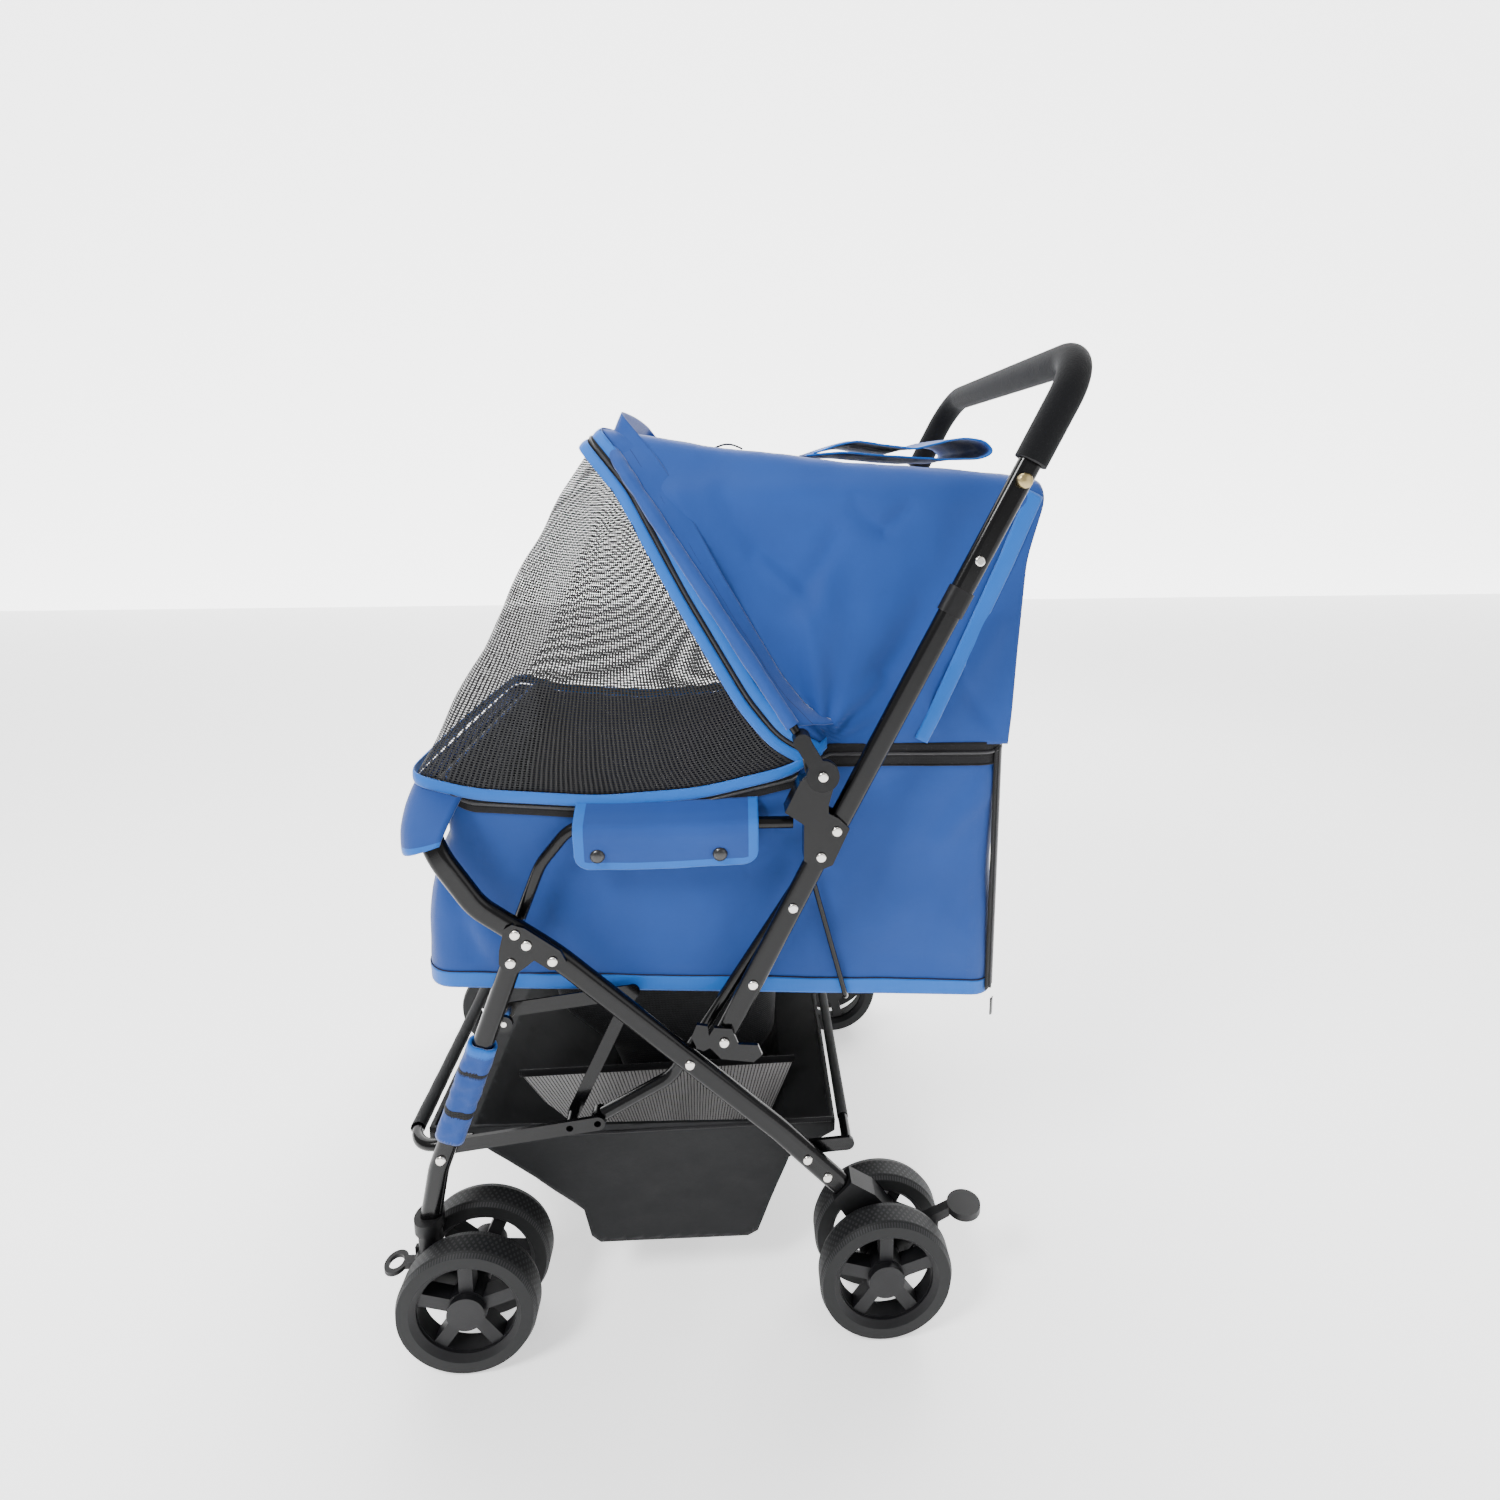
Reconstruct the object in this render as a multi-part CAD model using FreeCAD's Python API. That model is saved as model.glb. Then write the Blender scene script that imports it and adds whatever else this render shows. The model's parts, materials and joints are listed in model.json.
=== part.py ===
"""Folding pet stroller: tube frame, eight wheels, fabric cabin, canopy and basket.

Frame: +Z up, the floor is Z = 0, -X is the front and +X the rear, where the handle is.
Stations (x, z) are given from the datum line midway between the front and rear axles.
Every sub-part's Placement then moves it so that the origin is the middle of the footprint.
"""
import os

import FreeCAD
import Part
from FreeCAD import Vector
from math import cos, pi, radians, sin, tan

doc = FreeCAD.newDocument("pet_stroller")

# ---------------------------------------------------------------- driving dimensions, mm
SIZES = {
    "origin_shift": 16.23,
    "wheel_radius": 63.5,
    "wheel_width": 24.0,
    "rim_radius": 50.0,
    "rim_inner_radius": 45.0,
    "hub_radius": 17.0,
    "spoke_width": 13.0,
    "half_base": 194.0,
    "outer_wheel_y": 220.0,
    "inner_wheel_y": 173.5,
    "axle_radius": 4.0,
    "running_gap": 0.05,
    "axle_end_gap": 4.0,
    "leg_plane": 196.75,
    "block_width": 18.0,
    "tube_width": 21.0,
    "front_tube_width": 19.0,
    "tube_depth": 12.0,
    "tube_wall": 1.2,
    "tube_bend": 60.0,
    "slight_bend": 300.0,
    "rod_plane": 181.0,
    "rod_radius": 6.0,
    "arm_radius": 5.5,
    "rod_bend": 34.0,
    "flat_plane": 188.8,
    "flat_thickness": 3.0,
    "flat_width": 14.0,
    "link_thickness": 1.5,
    "drop_link_width": 12.0,
    "bush_radius": 5.0,
    "plate_thickness": 3.0,
    "plate_gap": 0.3,
    "pin_radius": 3.5,
    "rivet_radius": 2.5,
    "head_radius": 4.6,
    "head_height": 2.2,
    "cabin_half_width": 168.0,
    "canopy_mid_half_width": 152.0,
    "canopy_top_half_width": 118.0,
    "cabin_corner": 26.0,
    "cabin_wall": 3.0,
    "seam_gap": 0.6,
    "board_thickness": 5.0,
    "basket_half_width": 170.0,
    "basket_wall": 2.5,
    "bar_radius": 5.0,
    "bar_plane": 184.5,
    "bow_radius": 4.0,
    "bow_bend": 55.0,
    "wire_radius": 2.5,
    "wire_plane": 171.5,
    "grip_radius": 14.5,
    "handle_bend": 45.0,
    "swivel_radius": 5.0,
    "socket_radius": 13.0,
    "socket_neck": 27.0,
    "socket_head": 12.0,
    "socket_bore": 24.0,
    "neck_radius": 10.5,
    "hub_disc_radius": 14.5,
    "hub_disc_thickness": 6.0,
}

# Stations of the frame seen from the side: name -> (x, z), mm from the datum line.
STATIONS = {
    "bumper": (-229.0, 529.0),
    "leg_knee": (-174.0, 441.0),
    "leg_middle": (-108.0, 391.5),
    "leg_pivot": (11.0, 279.0),
    "leg_bend": (93.0, 201.0),
    "leg_end": (172.0, 117.0),
    "gusset_rivet": (-130.0, 408.0),
    "lower_leg_rivet": (140.4, 150.6),
    "rail_rivet": (121.0, 171.3),
    "front_pivot": (-144.5, 391.5),
    "front_knee": (-223.0, 182.0),
    "front_end": (-235.0, 124.0),
    "sleeve_top": (-176.0, 307.0),
    "sleeve_end": (-211.0, 214.0),
    "arm_foot": (-145.0, 412.0),
    "arm_rivet": (-139.5, 418.5),
    "arm_elbow": (-122.0, 470.0),
    "arm_top": (-92.0, 507.0),
    "arm_rear": (108.0, 503.0),
    "lock_rivet": (43.0, 303.0),
    "upright_foot": (38.5, 294.0),
    "upright_rivet": (69.8, 356.9),
    "lever_top": (106.6, 431.0),
    "lever_knee": (-8.0, 249.5),
    "lever_end": (-78.0, 211.0),
    "upright_top": (131.5, 481.0),
    "handle_pivot": (145.5, 505.0),
    "handle_splice": (249.5, 710.0),
    "handle_rivet": (267.8, 746.0),
    "handle_screw": (303.0, 815.0),
    "grip_end": (311.0, 831.0),
    "handle_top": (357.5, 923.0),
    "canopy_pivot": (132.0, 559.0),
    "bow_socket": (114.0, 590.0),
    "bow_top": (-62.0, 853.0),
    "bar_pivot": (-218.0, 195.5),
    "bar_link": (-104.0, 208.0),
    "upper_pivot": (-158.0, 322.0),
    "basket_front": (-256.0, 191.0),
    "basket_rail": (161.0, 173.0),
    "wire_top": (122.0, 462.0),
    "wire_floor": (162.0, 311.5),
    "swivel": (-235.0, 95.7),
    "pedal_pivot": (222.0, 84.0),
}


def new_sheet():
    """The spreadsheet of driving dimensions, one aliased cell for each."""
    sheet = doc.addObject("Spreadsheet::Sheet", "Dimensions")
    values = dict(SIZES)
    for name, (x, z) in STATIONS.items():
        values[name + "_x"] = x
        values[name + "_z"] = z
    for row, (name, value) in enumerate(values.items(), start=1):
        sheet.set("A%d" % row, name)
        sheet.set("B%d" % row, "%g" % value)
        sheet.setAlias("B%d" % row, name)
    doc.recompute()
    return sheet


sheet = new_sheet()


def size(name):
    return float(getattr(sheet, name))


def station(name, y=0.0):
    """The point of a named station at a given y."""
    return Vector(size(name + "_x"), y, size(name + "_z"))


SIDES = (("left", -1.0), ("right", 1.0))
subparts = []


def finish(obj, label):
    """Give a finished object its label and move it to the origin in the footprint."""
    obj.Label = label
    obj.Placement = FreeCAD.Placement(Vector(-size("origin_shift"), 0, 0), FreeCAD.Rotation())
    subparts.append(obj)
    return obj


def feature(label, shape):
    """A sub-part whose shape is made with Part's own functions."""
    obj = doc.addObject("Part::Feature", label)
    obj.Shape = shape
    return finish(obj, label)


def join(shapes):
    """One solid from pieces that overlap."""
    whole = shapes[0]
    for other in shapes[1:]:
        whole = whole.fuse(other)
    return whole.removeSplitter()


# ---------------------------------------------------------------- shape helpers
def arc_path(points, bends):
    """A wire of straight runs with a tangent arc of the given radius at each inner point."""
    edges = []
    last = points[0]
    for before, point, after, bend in zip(points, points[1:], points[2:], bends):
        back = (before - point).normalize()
        ahead = (after - point).normalize()
        half = back.getAngle(ahead) / 2
        cut = bend / tan(half)
        middle = point + (back + ahead).normalize() * (bend / sin(half) - bend)
        start = point + back * cut
        end = point + ahead * cut
        edges.append(Part.makeLine(last, start))
        edges.append(Part.Arc(start, middle, end).toShape())
        last = end
    edges.append(Part.makeLine(last, points[-1]))
    return Part.Wire(edges)


def oval(centre, along, across, width, depth):
    """A flat-sided oval wire: width lies at right angles to both along and across."""
    flat = along.cross(across).normalize()
    across = Vector(across).normalize()
    radius = depth / 2
    reach = width / 2 - radius
    corner = [centre + flat * (reach * f) + across * (radius * a)
              for f, a in ((1, 1), (-1, 1), (-1, -1), (1, -1))]
    left_end = centre - flat * (width / 2)
    right_end = centre + flat * (width / 2)
    return Part.Wire([
        Part.makeLine(corner[0], corner[1]),
        Part.Arc(corner[1], left_end, corner[2]).toShape(),
        Part.makeLine(corner[2], corner[3]),
        Part.Arc(corner[3], right_end, corner[0]).toShape(),
    ])


def sweep(path, rings):
    """A solid swept along a path from an outer ring, less one from an inner ring."""
    if len(path.Edges) == 1:
        ends = [v.Point for v in path.OrderedVertexes]
        bars = [Part.Face(ring).extrude(ends[1] - ends[0]) for ring in rings]
    else:
        bars = [path.makePipeShell([ring], True, False) for ring in rings]
    shape = bars[0]
    for inner in bars[1:]:
        shape = shape.cut(inner)
    return shape


def oval_tube(points, bends, across, solid=False):
    """A flat-oval frame tube along a bent path, open at both ends unless solid."""
    path = arc_path(points, bends)
    along = (points[1] - points[0]).normalize()
    width = size("tube_width")
    depth = size("tube_depth")
    wall = 2 * size("tube_wall")
    rings = [oval(points[0], along, across, width, depth)]
    if not solid:
        rings.append(oval(points[0], along, across, width - wall, depth - wall))
    return sweep(path, rings)


def rod(points, bends, radius):
    """A round bar along a bent path."""
    path = arc_path(points, bends)
    along = (points[1] - points[0]).normalize()
    ring = Part.Wire(Part.makeCircle(radius, points[0], along))
    return sweep(path, [ring])


def outline_face(points, y):
    """A flat face in the plane y, from (x, z) points."""
    ring = [Vector(x, y, z) for x, z in points]
    return Part.Face(Part.makePolygon(ring + ring[:1]))


def slab(points, y_low, y_high):
    """A plate of the given outline between two y planes."""
    return outline_face(points, y_low).extrude(Vector(0, y_high - y_low, 0))


def disc(centre, y_low, y_high, radius):
    """A cylinder along y about a station."""
    base = Vector(centre.x, y_low, centre.z)
    return Part.makeCylinder(radius, y_high - y_low, base, Vector(0, 1, 0))


def strap(start, end, width, y_low, y_high):
    """A flat bar with round ends between two points seen from the side."""
    along = Vector(end.x - start.x, 0, end.z - start.z)
    length = along.Length
    side = Vector(-along.z, 0, along.x).normalize() * (width / 2)
    corners = [start + side, end + side, end - side, start - side]
    bar = slab([(c.x, c.z) for c in corners], y_low, y_high)
    ends = [disc(p, y_low, y_high, width / 2) for p in (start, end)]
    assert length > width
    return join([bar] + ends)


def span(side, low, high):
    """The y limits of a layer on one side, given its distances from the middle plane."""
    return (low, high) if side > 0 else (-high, -low)


def layer(side, centre, thickness):
    return span(side, centre - thickness / 2, centre + thickness / 2)


# ---------------------------------------------------------------- wheels
def make_wheel(label, x, side, y_alias, turn):
    """Moulded wheel with five spokes and a blind bore facing the leg; it turns on its axle."""
    axle_y = side * size(y_alias)
    half = size("wheel_width") / 2
    outer = size("wheel_radius")
    rim = size("rim_radius")
    rim_inner = size("rim_inner_radius")
    hub = size("hub_radius")
    # the bore opens towards the leg, which is inboard of the outer wheel
    mouth = -side if y_alias == "outer_wheel_y" else side
    body = doc.addObject("PartDesign::Body", label)
    plane = [f for f in body.Origin.OriginFeatures if f.Role == "XY_Plane"][0]
    profile = body.newObject("Sketcher::SketchObject", label + "_section")
    profile.AttachmentSupport = (plane, [""])
    profile.MapMode = "FlatFace"
    shoulder = half - 4.0
    web = 6.0
    crown = 2.5
    bore = size("axle_radius") + size("running_gap")
    blind = size("axle_end_gap") - 0.5
    section = [
        (bore, mouth * half), (hub, mouth * half), (hub, mouth * web),
        (rim_inner, mouth * web), (rim_inner, mouth * shoulder), (rim, mouth * half),
        (outer - crown, mouth * half), (outer, mouth * (half - crown * 2)),
        (outer, -mouth * (half - crown * 2)), (outer - crown, -mouth * half),
        (rim, -mouth * half), (rim_inner, -mouth * shoulder), (rim_inner, -mouth * web),
        (hub, -mouth * web), (hub, -mouth * (half - 1.0)), (0, -mouth * (half - 1.0)),
        (0, -mouth * (half - blind)), (bore, -mouth * (half - blind)),
    ]
    count = len(section)
    for i, (r, y) in enumerate(section):
        r_next, y_next = section[(i + 1) % count]
        profile.addGeometry(Part.LineSegment(Vector(r, y, 0), Vector(r_next, y_next, 0)))
    turned = body.newObject("PartDesign::Revolution", label + "_turned")
    turned.Profile = profile
    turned.ReferenceAxis = (profile, ["V_Axis"])
    turned.Angle = 360
    doc.recompute()
    xz = [f for f in body.Origin.OriginFeatures if f.Role == "XZ_Plane"][0]
    window = body.newObject("Sketcher::SketchObject", label + "_window")
    window.AttachmentSupport = (xz, [""])
    window.MapMode = "FlatFace"
    inner_r = hub + 1.5
    outer_r = rim_inner - 1.0
    gap_in = pi / 5 - size("spoke_width") / 2 / inner_r
    gap_out = pi / 5 - size("spoke_width") / 2 / outer_r
    start = turn

    def polar(radius, angle):
        return Vector(radius * cos(start + angle), radius * sin(start + angle), 0)

    inner_arc = Part.Arc(polar(inner_r, -gap_in), polar(inner_r, 0), polar(inner_r, gap_in))
    outer_arc = Part.Arc(polar(outer_r, -gap_out), polar(outer_r, 0), polar(outer_r, gap_out))
    window.addGeometry(inner_arc)
    window.addGeometry(outer_arc)
    window.addGeometry(Part.LineSegment(polar(inner_r, gap_in), polar(outer_r, gap_out)))
    window.addGeometry(Part.LineSegment(polar(inner_r, -gap_in), polar(outer_r, -gap_out)))
    cut = body.newObject("PartDesign::Pocket", label + "_opening")
    cut.Profile = window
    cut.Type = "ThroughAll"
    cut.Midplane = True
    doc.recompute()
    pattern = body.newObject("PartDesign::PolarPattern", label + "_spokes")
    pattern.Originals = [cut]
    pattern.Axis = (window, ["N_Axis"])
    pattern.Angle = 360
    pattern.Occurrences = 5
    body.Tip = pattern
    doc.recompute()
    body.Label = label
    base = Vector(x - size("origin_shift"), axle_y, size("wheel_radius"))
    body.Placement = FreeCAD.Placement(base, FreeCAD.Rotation())
    subparts.append(body)


def front_wheel_x(side):
    """The left caster trails its swivel; the right one has swung round and leads it."""
    trail = size("swivel_x") + size("half_base")
    return size("swivel_x") + side * trail


def make_wheels():
    for side_name, side in SIDES:
        for end, x in (("front", front_wheel_x(side)), ("rear", size("half_base"))):
            for place, turn in (("outer", 54), ("inner", 30)):
                label = "%s_wheel_%s_%s" % (end, side_name, place)
                make_wheel(label, x, side, place + "_wheel_y", radians(turn))


# ---------------------------------------------------------------- pins and rivets
def pin(name, side, low, high, radius_alias="rivet_radius"):
    """A pin along y through a station, with a low domed head on its outer end."""
    centre = station(name)
    height = size("head_height")
    y_low, y_high = span(side, low, high)
    head_low, head_high = span(side, high, high + height)
    button = disc(centre, head_low, head_high, size("head_radius"))
    outer = [e for e in button.Edges
             if abs(abs(e.BoundBox.Center.y) - high - height) < 0.01 and e.BoundBox.XLength > 1]
    button = button.makeFillet(height * 0.8, outer)
    return disc(centre, y_low, y_high, size(radius_alias)).fuse(button)


def drill(shape, side, names, radius_alias="rivet_radius", gap=0.0):
    """Holes along y through one side's part, at the named stations."""
    y_low, y_high = span(side, 150.0, 240.0)
    for name in names:
        shape = shape.cut(disc(station(name), y_low, y_high, size(radius_alias) + gap))
    return shape


def tube_faces():
    """How far the frame tubes' inner and outer faces lie from the middle plane."""
    half = size("tube_depth") / 2
    return size("leg_plane") - half, size("leg_plane") + half


def outer_plate_faces():
    inner = tube_faces()[1] + size("plate_gap")
    return inner, inner + size("plate_thickness")


def flat_faces():
    half = size("flat_thickness") / 2
    return size("flat_plane") - half, size("flat_plane") + half


def block_faces():
    half = size("block_width") / 2
    return size("leg_plane") - half, size("leg_plane") + half


# ---------------------------------------------------------------- rear frame
ACROSS = Vector(0, 1, 0)


def leg_points(side):
    y = side * size("leg_plane")
    knee = station("leg_knee", y)
    splice = knee + (station("bumper", y) - knee) * 0.3
    return [splice, knee] + [station(n, y) for n in ("leg_middle", "leg_bend", "leg_end")]


def leg_bends():
    return [size("tube_bend"), size("slight_bend"), size("slight_bend")]


def make_rear_legs():
    for side_name, side in SIDES:
        leg = oval_tube(leg_points(side), leg_bends(), ACROSS)
        leg = drill(leg, side, ("arm_rivet", "gusset_rivet", "leg_middle", "rail_rivet",
                                "lower_leg_rivet"))
        leg = drill(leg, side, ("leg_pivot",), "pin_radius")
        feature("rear_leg_" + side_name, leg)


def make_front_bumper():
    """The bow that joins the two rear legs across the front, below the cabin's rim."""
    plane = size("leg_plane")
    corners = [station("bumper", -plane), station("bumper", plane)]
    path = [leg_points(-1)[0]] + corners + [leg_points(1)[0]]
    feature("front_bumper", oval_tube(path, [size("tube_bend")] * 2, ACROSS))


GUSSET = ((-149, 424), (-142, 428), (-131, 424), (-101, 401), (-96, 390), (-101, 383), (-111, 383),
          (-124, 393), (-133, 386), (-140, 381), (-150, 382), (-155, 391), (-154, 404))


def make_gusset_plates():
    """Plates that hang the front legs' pivots from the rear legs."""
    low, high = outer_plate_faces()
    plates = []
    for _, side in SIDES:
        plate = slab(GUSSET, *span(side, low, high))
        plate = drill(plate, side, ("arm_rivet", "gusset_rivet", "leg_middle"))
        plates.append(drill(plate, side, ("front_pivot",), "pin_radius"))
    feature("gusset_plates", Part.makeCompound(plates))


def make_tray_arms():
    """Round side arms that carry the cabin's rim; the flaps of the cabin wrap them."""
    for side_name, side in SIDES:
        y = side * size("rod_plane")
        points = [station(n, y) for n in ("arm_foot", "arm_elbow", "arm_top", "arm_rear")]
        arm = rod(points, [size("tube_bend"), size("rod_bend")], size("arm_radius"))
        feature("tray_arm_" + side_name, drill(arm, side, ("arm_rivet",)))


BRACKET = ((146, 128), (163, 146), (186, 131), (208, 104), (226, 95), (233, 86), (229, 76),
           (217, 72), (213, 55), (202, 45), (186, 45), (174, 55), (172, 78), (160, 106))


def make_rear_brackets():
    """Moulded blocks between the twin rear wheels, with a socket for the leg's end."""
    faces = block_faces()
    axle = Vector(size("half_base"), 0, size("wheel_radius"))
    for side_name, side in SIDES:
        block = slab(BRACKET, *span(side, *faces))
        leg = oval_tube(leg_points(side), leg_bends(), ACROSS, solid=True)
        block = block.cut(leg)
        block = block.cut(disc(axle, *span(side, *faces), size("axle_radius")))
        # a slot at the rear for the pedal's cheek, and its pivot hole
        slot_low, slot_high = layer(side, size("leg_plane"), 8.6)
        block = block.cut(slab(((208, 62), (208, 108), (240, 108), (240, 62)), slot_low, slot_high))
        block = drill(block, side, ("pedal_pivot",))
        feature("rear_bracket_" + side_name, block)


def axle_faces():
    """The ends of an axle inside the blind bores of its two wheels."""
    reach = size("wheel_width") / 2 - size("axle_end_gap")
    return size("inner_wheel_y") - reach, size("outer_wheel_y") + reach


def make_rear_axles():
    centre = Vector(size("half_base"), 0, size("wheel_radius"))
    rods = [disc(centre, *span(side, *axle_faces()), size("axle_radius")) for _, side in SIDES]
    feature("rear_axles", Part.makeCompound(rods))


def make_basket_rail():
    """Cross bar of the basket's rear edge, with a tab to each rear leg."""
    centre = station("basket_rail")
    low, high = flat_faces()
    bar = disc(centre, -low, low, size("bar_radius"))
    tabs = []
    for _, side in SIDES:
        tab = strap(station("rail_rivet"), centre, size("flat_width"), *span(side, low, high))
        tabs.append(drill(tab, side, ("rail_rivet",)))
    feature("basket_rail", join([bar] + tabs))


def make_frame_rivets():
    tube_in, tube_out = tube_faces()
    plate_out = outer_plate_faces()[1]
    rod_in = size("rod_plane") - size("rod_radius")
    arm_in = size("rod_plane") - size("arm_radius")
    pins = []
    for _, side in SIDES:
        pins.append(pin("arm_rivet", side, arm_in, plate_out))
        for name in ("gusset_rivet", "leg_middle"):
            pins.append(pin(name, side, tube_in, plate_out))
        pins.append(pin("front_pivot", side, tube_in - size("plate_gap"), plate_out, "pin_radius"))
        pins.append(pin("leg_pivot", side, rod_in - 1.0, tube_out, "pin_radius"))
        pins.append(pin("rail_rivet", side, flat_faces()[0], tube_out))
        pins.append(pin("lower_leg_rivet", side, tube_in, tube_out))
    feature("frame_rivets", Part.makeCompound(pins))


# ---------------------------------------------------------------- cabin, canopy and basket
# Outlines of the soft parts seen from the side, (x, z).
FLOOR_LINE = ((-238, 347), (312, 309))
FRONT_LINE = ((-213, 537), (-213, 490))
RIM_LINE = ((313, 568), (140, 571), (111, 544), (22, 524), (-70, 519), (-180, 529), (-238, 546))
REAR_LINE = ((330, 741), (353, 804), (346, 815))
ROOF_LINE = ((313, 818), (215, 828), (119, 836), (44, 846), (-11, 855), (-66, 862))
WINDOW_LINE = ((-112, 787), (-170, 665))
BOW_LINE = ((-66, 862), (-27, 815), (25, 717), (79, 624), (140, 571))


def shifted(points, dx, dz):
    return [(x + dx, z + dz) for x, z in points]


def prism_across(half_widths, x_low, x_high):
    """A body along x whose section is given as (half width, z) from bottom to top."""
    right = [Vector(x_low, w, z) for w, z in half_widths]
    left = [Vector(x_low, -w, z) for w, z in reversed(half_widths)]
    ring = right + left
    face = Part.Face(Part.makePolygon(ring + ring[:1]))
    return face.extrude(Vector(x_high - x_low, 0, 0))


def rounded_plan(x_low, x_high, half_width, corner, z_low, z_high):
    """An upright block with round vertical corners."""
    block = Part.makeBox(x_high - x_low, 2 * half_width, z_high - z_low,
                         Vector(x_low, -half_width, z_low))
    upright = [e for e in block.Edges if e.BoundBox.ZLength > 1]
    return block.makeFillet(corner, upright)


def make_cabin_tub():
    """Lower box of the cabin, open at the top."""
    wall = size("cabin_wall")
    half = size("cabin_half_width")
    corner = size("cabin_corner")
    outline = list(FLOOR_LINE) + list(RIM_LINE[:-1]) + list(FRONT_LINE)
    outer = slab(outline, -half, half)
    outer = outer.common(rounded_plan(-238, 313, half, corner, 280, 600))
    drop = (FLOOR_LINE[1][1] - FLOOR_LINE[0][1]) / (FLOOR_LINE[1][0] - FLOOR_LINE[0][0])

    def floor_at(x):
        return FLOOR_LINE[0][1] + wall + drop * (x - FLOOR_LINE[0][0])

    front = [(-210, 700), (-210, 490), (-235, floor_at(-235))]
    hollow = slab([(500, floor_at(500)), (500, 700)] + front, -half, half)
    hollow = hollow.common(rounded_plan(-238 + wall, 312 - wall, half - wall, corner - wall,
                                        200, 800))
    feature("cabin_tub", outer.cut(hollow))


def make_floor_board():
    """Stiff padded board that lies on the tub's floor."""
    half = size("cabin_half_width") - 10.0
    lift = size("cabin_wall") + 1.0
    thick = size("board_thickness")
    front = Vector(-222.0, 0, 345.9 + lift)
    rear = Vector(298.0, 0, 310.0 + lift)
    outline = [(front.x, front.z), (rear.x, rear.z), (rear.x, rear.z + thick),
               (front.x, front.z + thick)]
    feature("floor_board", slab(outline, -half, half))


def canopy_whole():
    """The roof, sides and window as one thin shell, open towards the tub."""
    gap = size("seam_gap")
    wall = size("cabin_wall")
    half = size("cabin_half_width")
    middle = size("canopy_mid_half_width")
    top = size("canopy_top_half_width")
    rim = shifted(RIM_LINE, 0, gap)
    outline = list(reversed(rim)) + list(REAR_LINE) + list(ROOF_LINE) + list(WINDOW_LINE)
    section = [(half, 300), (half, 600), (middle, 740), (middle - 12, 800), (top, 866)]
    outer = slab(outline, -half, half).common(prism_across(section, -400, 500))
    inner_line = [(310, 480), (310, 568), (327, 742), (349, 803), (344, 811)]
    inner_line += [(312, 815), (215, 825), (119, 833), (44, 843), (-11, 852), (-64.5, 858.7)]
    inner_line += [(-109, 786), (-167, 664), (-235, 545), (-235, 480)]
    section_in = [(half - wall, 300), (half - wall, 600 - 1), (middle - wall, 739),
                  (middle - 12 - wall, 798), (top - wall - 1, 863)]
    hollow = slab(inner_line, -half, half).common(prism_across(section_in, -400, 500))
    return outer.cut(hollow)


def make_canopy():
    """The fabric roof and the mesh window, which meet along the canopy's bow."""
    half = size("cabin_half_width") + 5
    whole = canopy_whole()
    behind = list(BOW_LINE) + [(500, 571), (500, 900), (-66, 900)]
    cloth = whole.common(slab(behind, -half, half))
    window = whole.cut(slab(shifted(behind, -size("seam_gap"), 0), -half, half))
    feature("canopy_shell", cloth)
    feature("canopy_window", window)


def make_basket():
    """Fabric basket slung between the front bar and the rear rail, open at the top."""
    half = size("basket_half_width")
    wall = size("basket_wall")
    outline = [(-242, 184), (-205, 184), (-100, 92), (-93, 64), (-84, 57), (64, 53), (74, 58),
               (106, 136), (152, 166), (152, 180), (-242, 198)]
    outer = slab(outline, -half, half)
    inner = [(-238, 187.5), (-204, 187.5), (-97.6, 94), (-90.6, 66), (-83, 59.8), (63, 55.8),
             (72, 60), (104, 138), (149, 168), (149, 230), (-238, 230)]
    hollow = slab(inner, -half + wall, half - wall)
    feature("basket", outer.cut(hollow))


# ---------------------------------------------------------------- upright frame
def make_uprights():
    y_names = ("upright_foot", "upright_top")
    for side_name, side in SIDES:
        foot, top = [station(n, side * size("leg_plane")) for n in y_names]
        along = (top - foot).normalize()
        points = [foot - along * 4.0, top + along * 7.0]
        tube = oval_tube(points, [], ACROSS)
        tube = drill(tube, side, ("upright_rivet", "lever_top", "upright_top"))
        tube = drill(tube, side, ("lock_rivet",), "rivet_radius")
        feature("upright_tube_" + side_name, tube)


def make_levers():
    """Bent rods that pivot on the rear legs and push the basket bar as the frame folds."""
    names = ("lever_top", "lever_knee", "lever_end")
    for side_name, side in SIDES:
        points = [station(n, side * size("rod_plane")) for n in names]
        along = (points[0] - points[1]).normalize()
        points[0] = points[0] + along * 9.0
        lever = rod(points, [size("rod_bend")], size("rod_radius"))
        eye = disc(station("lever_end"), *layer(side, size("rod_plane"), 11.0), 7.5)
        lever = lever.fuse(eye)
        lever = drill(lever, side, ("lever_top", "lever_end"))
        lever = drill(lever, side, ("leg_pivot",), "pin_radius", size("running_gap"))
        feature("lever_" + side_name, lever)


HINGE_PLATE = ((112, 551), (99, 524), (116, 512), (116, 478), (130, 468), (142, 473),
               (157, 507), (147, 517), (138, 522), (138, 547), (128, 556))
HINGE_LUG = ((112, 551), (120, 559), (144, 553), (138, 530), (120, 530))


def make_hinge_plates():
    """Folded brackets that hold the upright's top and carry the handle's pivot."""
    low = flat_faces()[0]
    high = outer_plate_faces()[1]
    slot_low = tube_faces()[0] - size("plate_gap")
    slot_high = tube_faces()[1] + size("plate_gap")
    pocket = ((118, 460), (118, 545), (160, 545), (160, 460))
    for side_name, side in SIDES:
        block = slab(HINGE_PLATE, *span(side, low, high))
        block = block.cut(slab(pocket, *span(side, slot_low, slot_high)))
        lug = slab(HINGE_LUG, *span(side, slot_high, high))
        boss = disc(station("canopy_pivot"), *span(side, slot_high, high), 12.0)
        block = block.fuse(lug).fuse(boss).removeSplitter()
        block = drill(block, side, ("upright_top",))
        block = drill(block, side, ("handle_pivot", "canopy_pivot"), "pin_radius")
        feature("hinge_plate_" + side_name, block)


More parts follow.
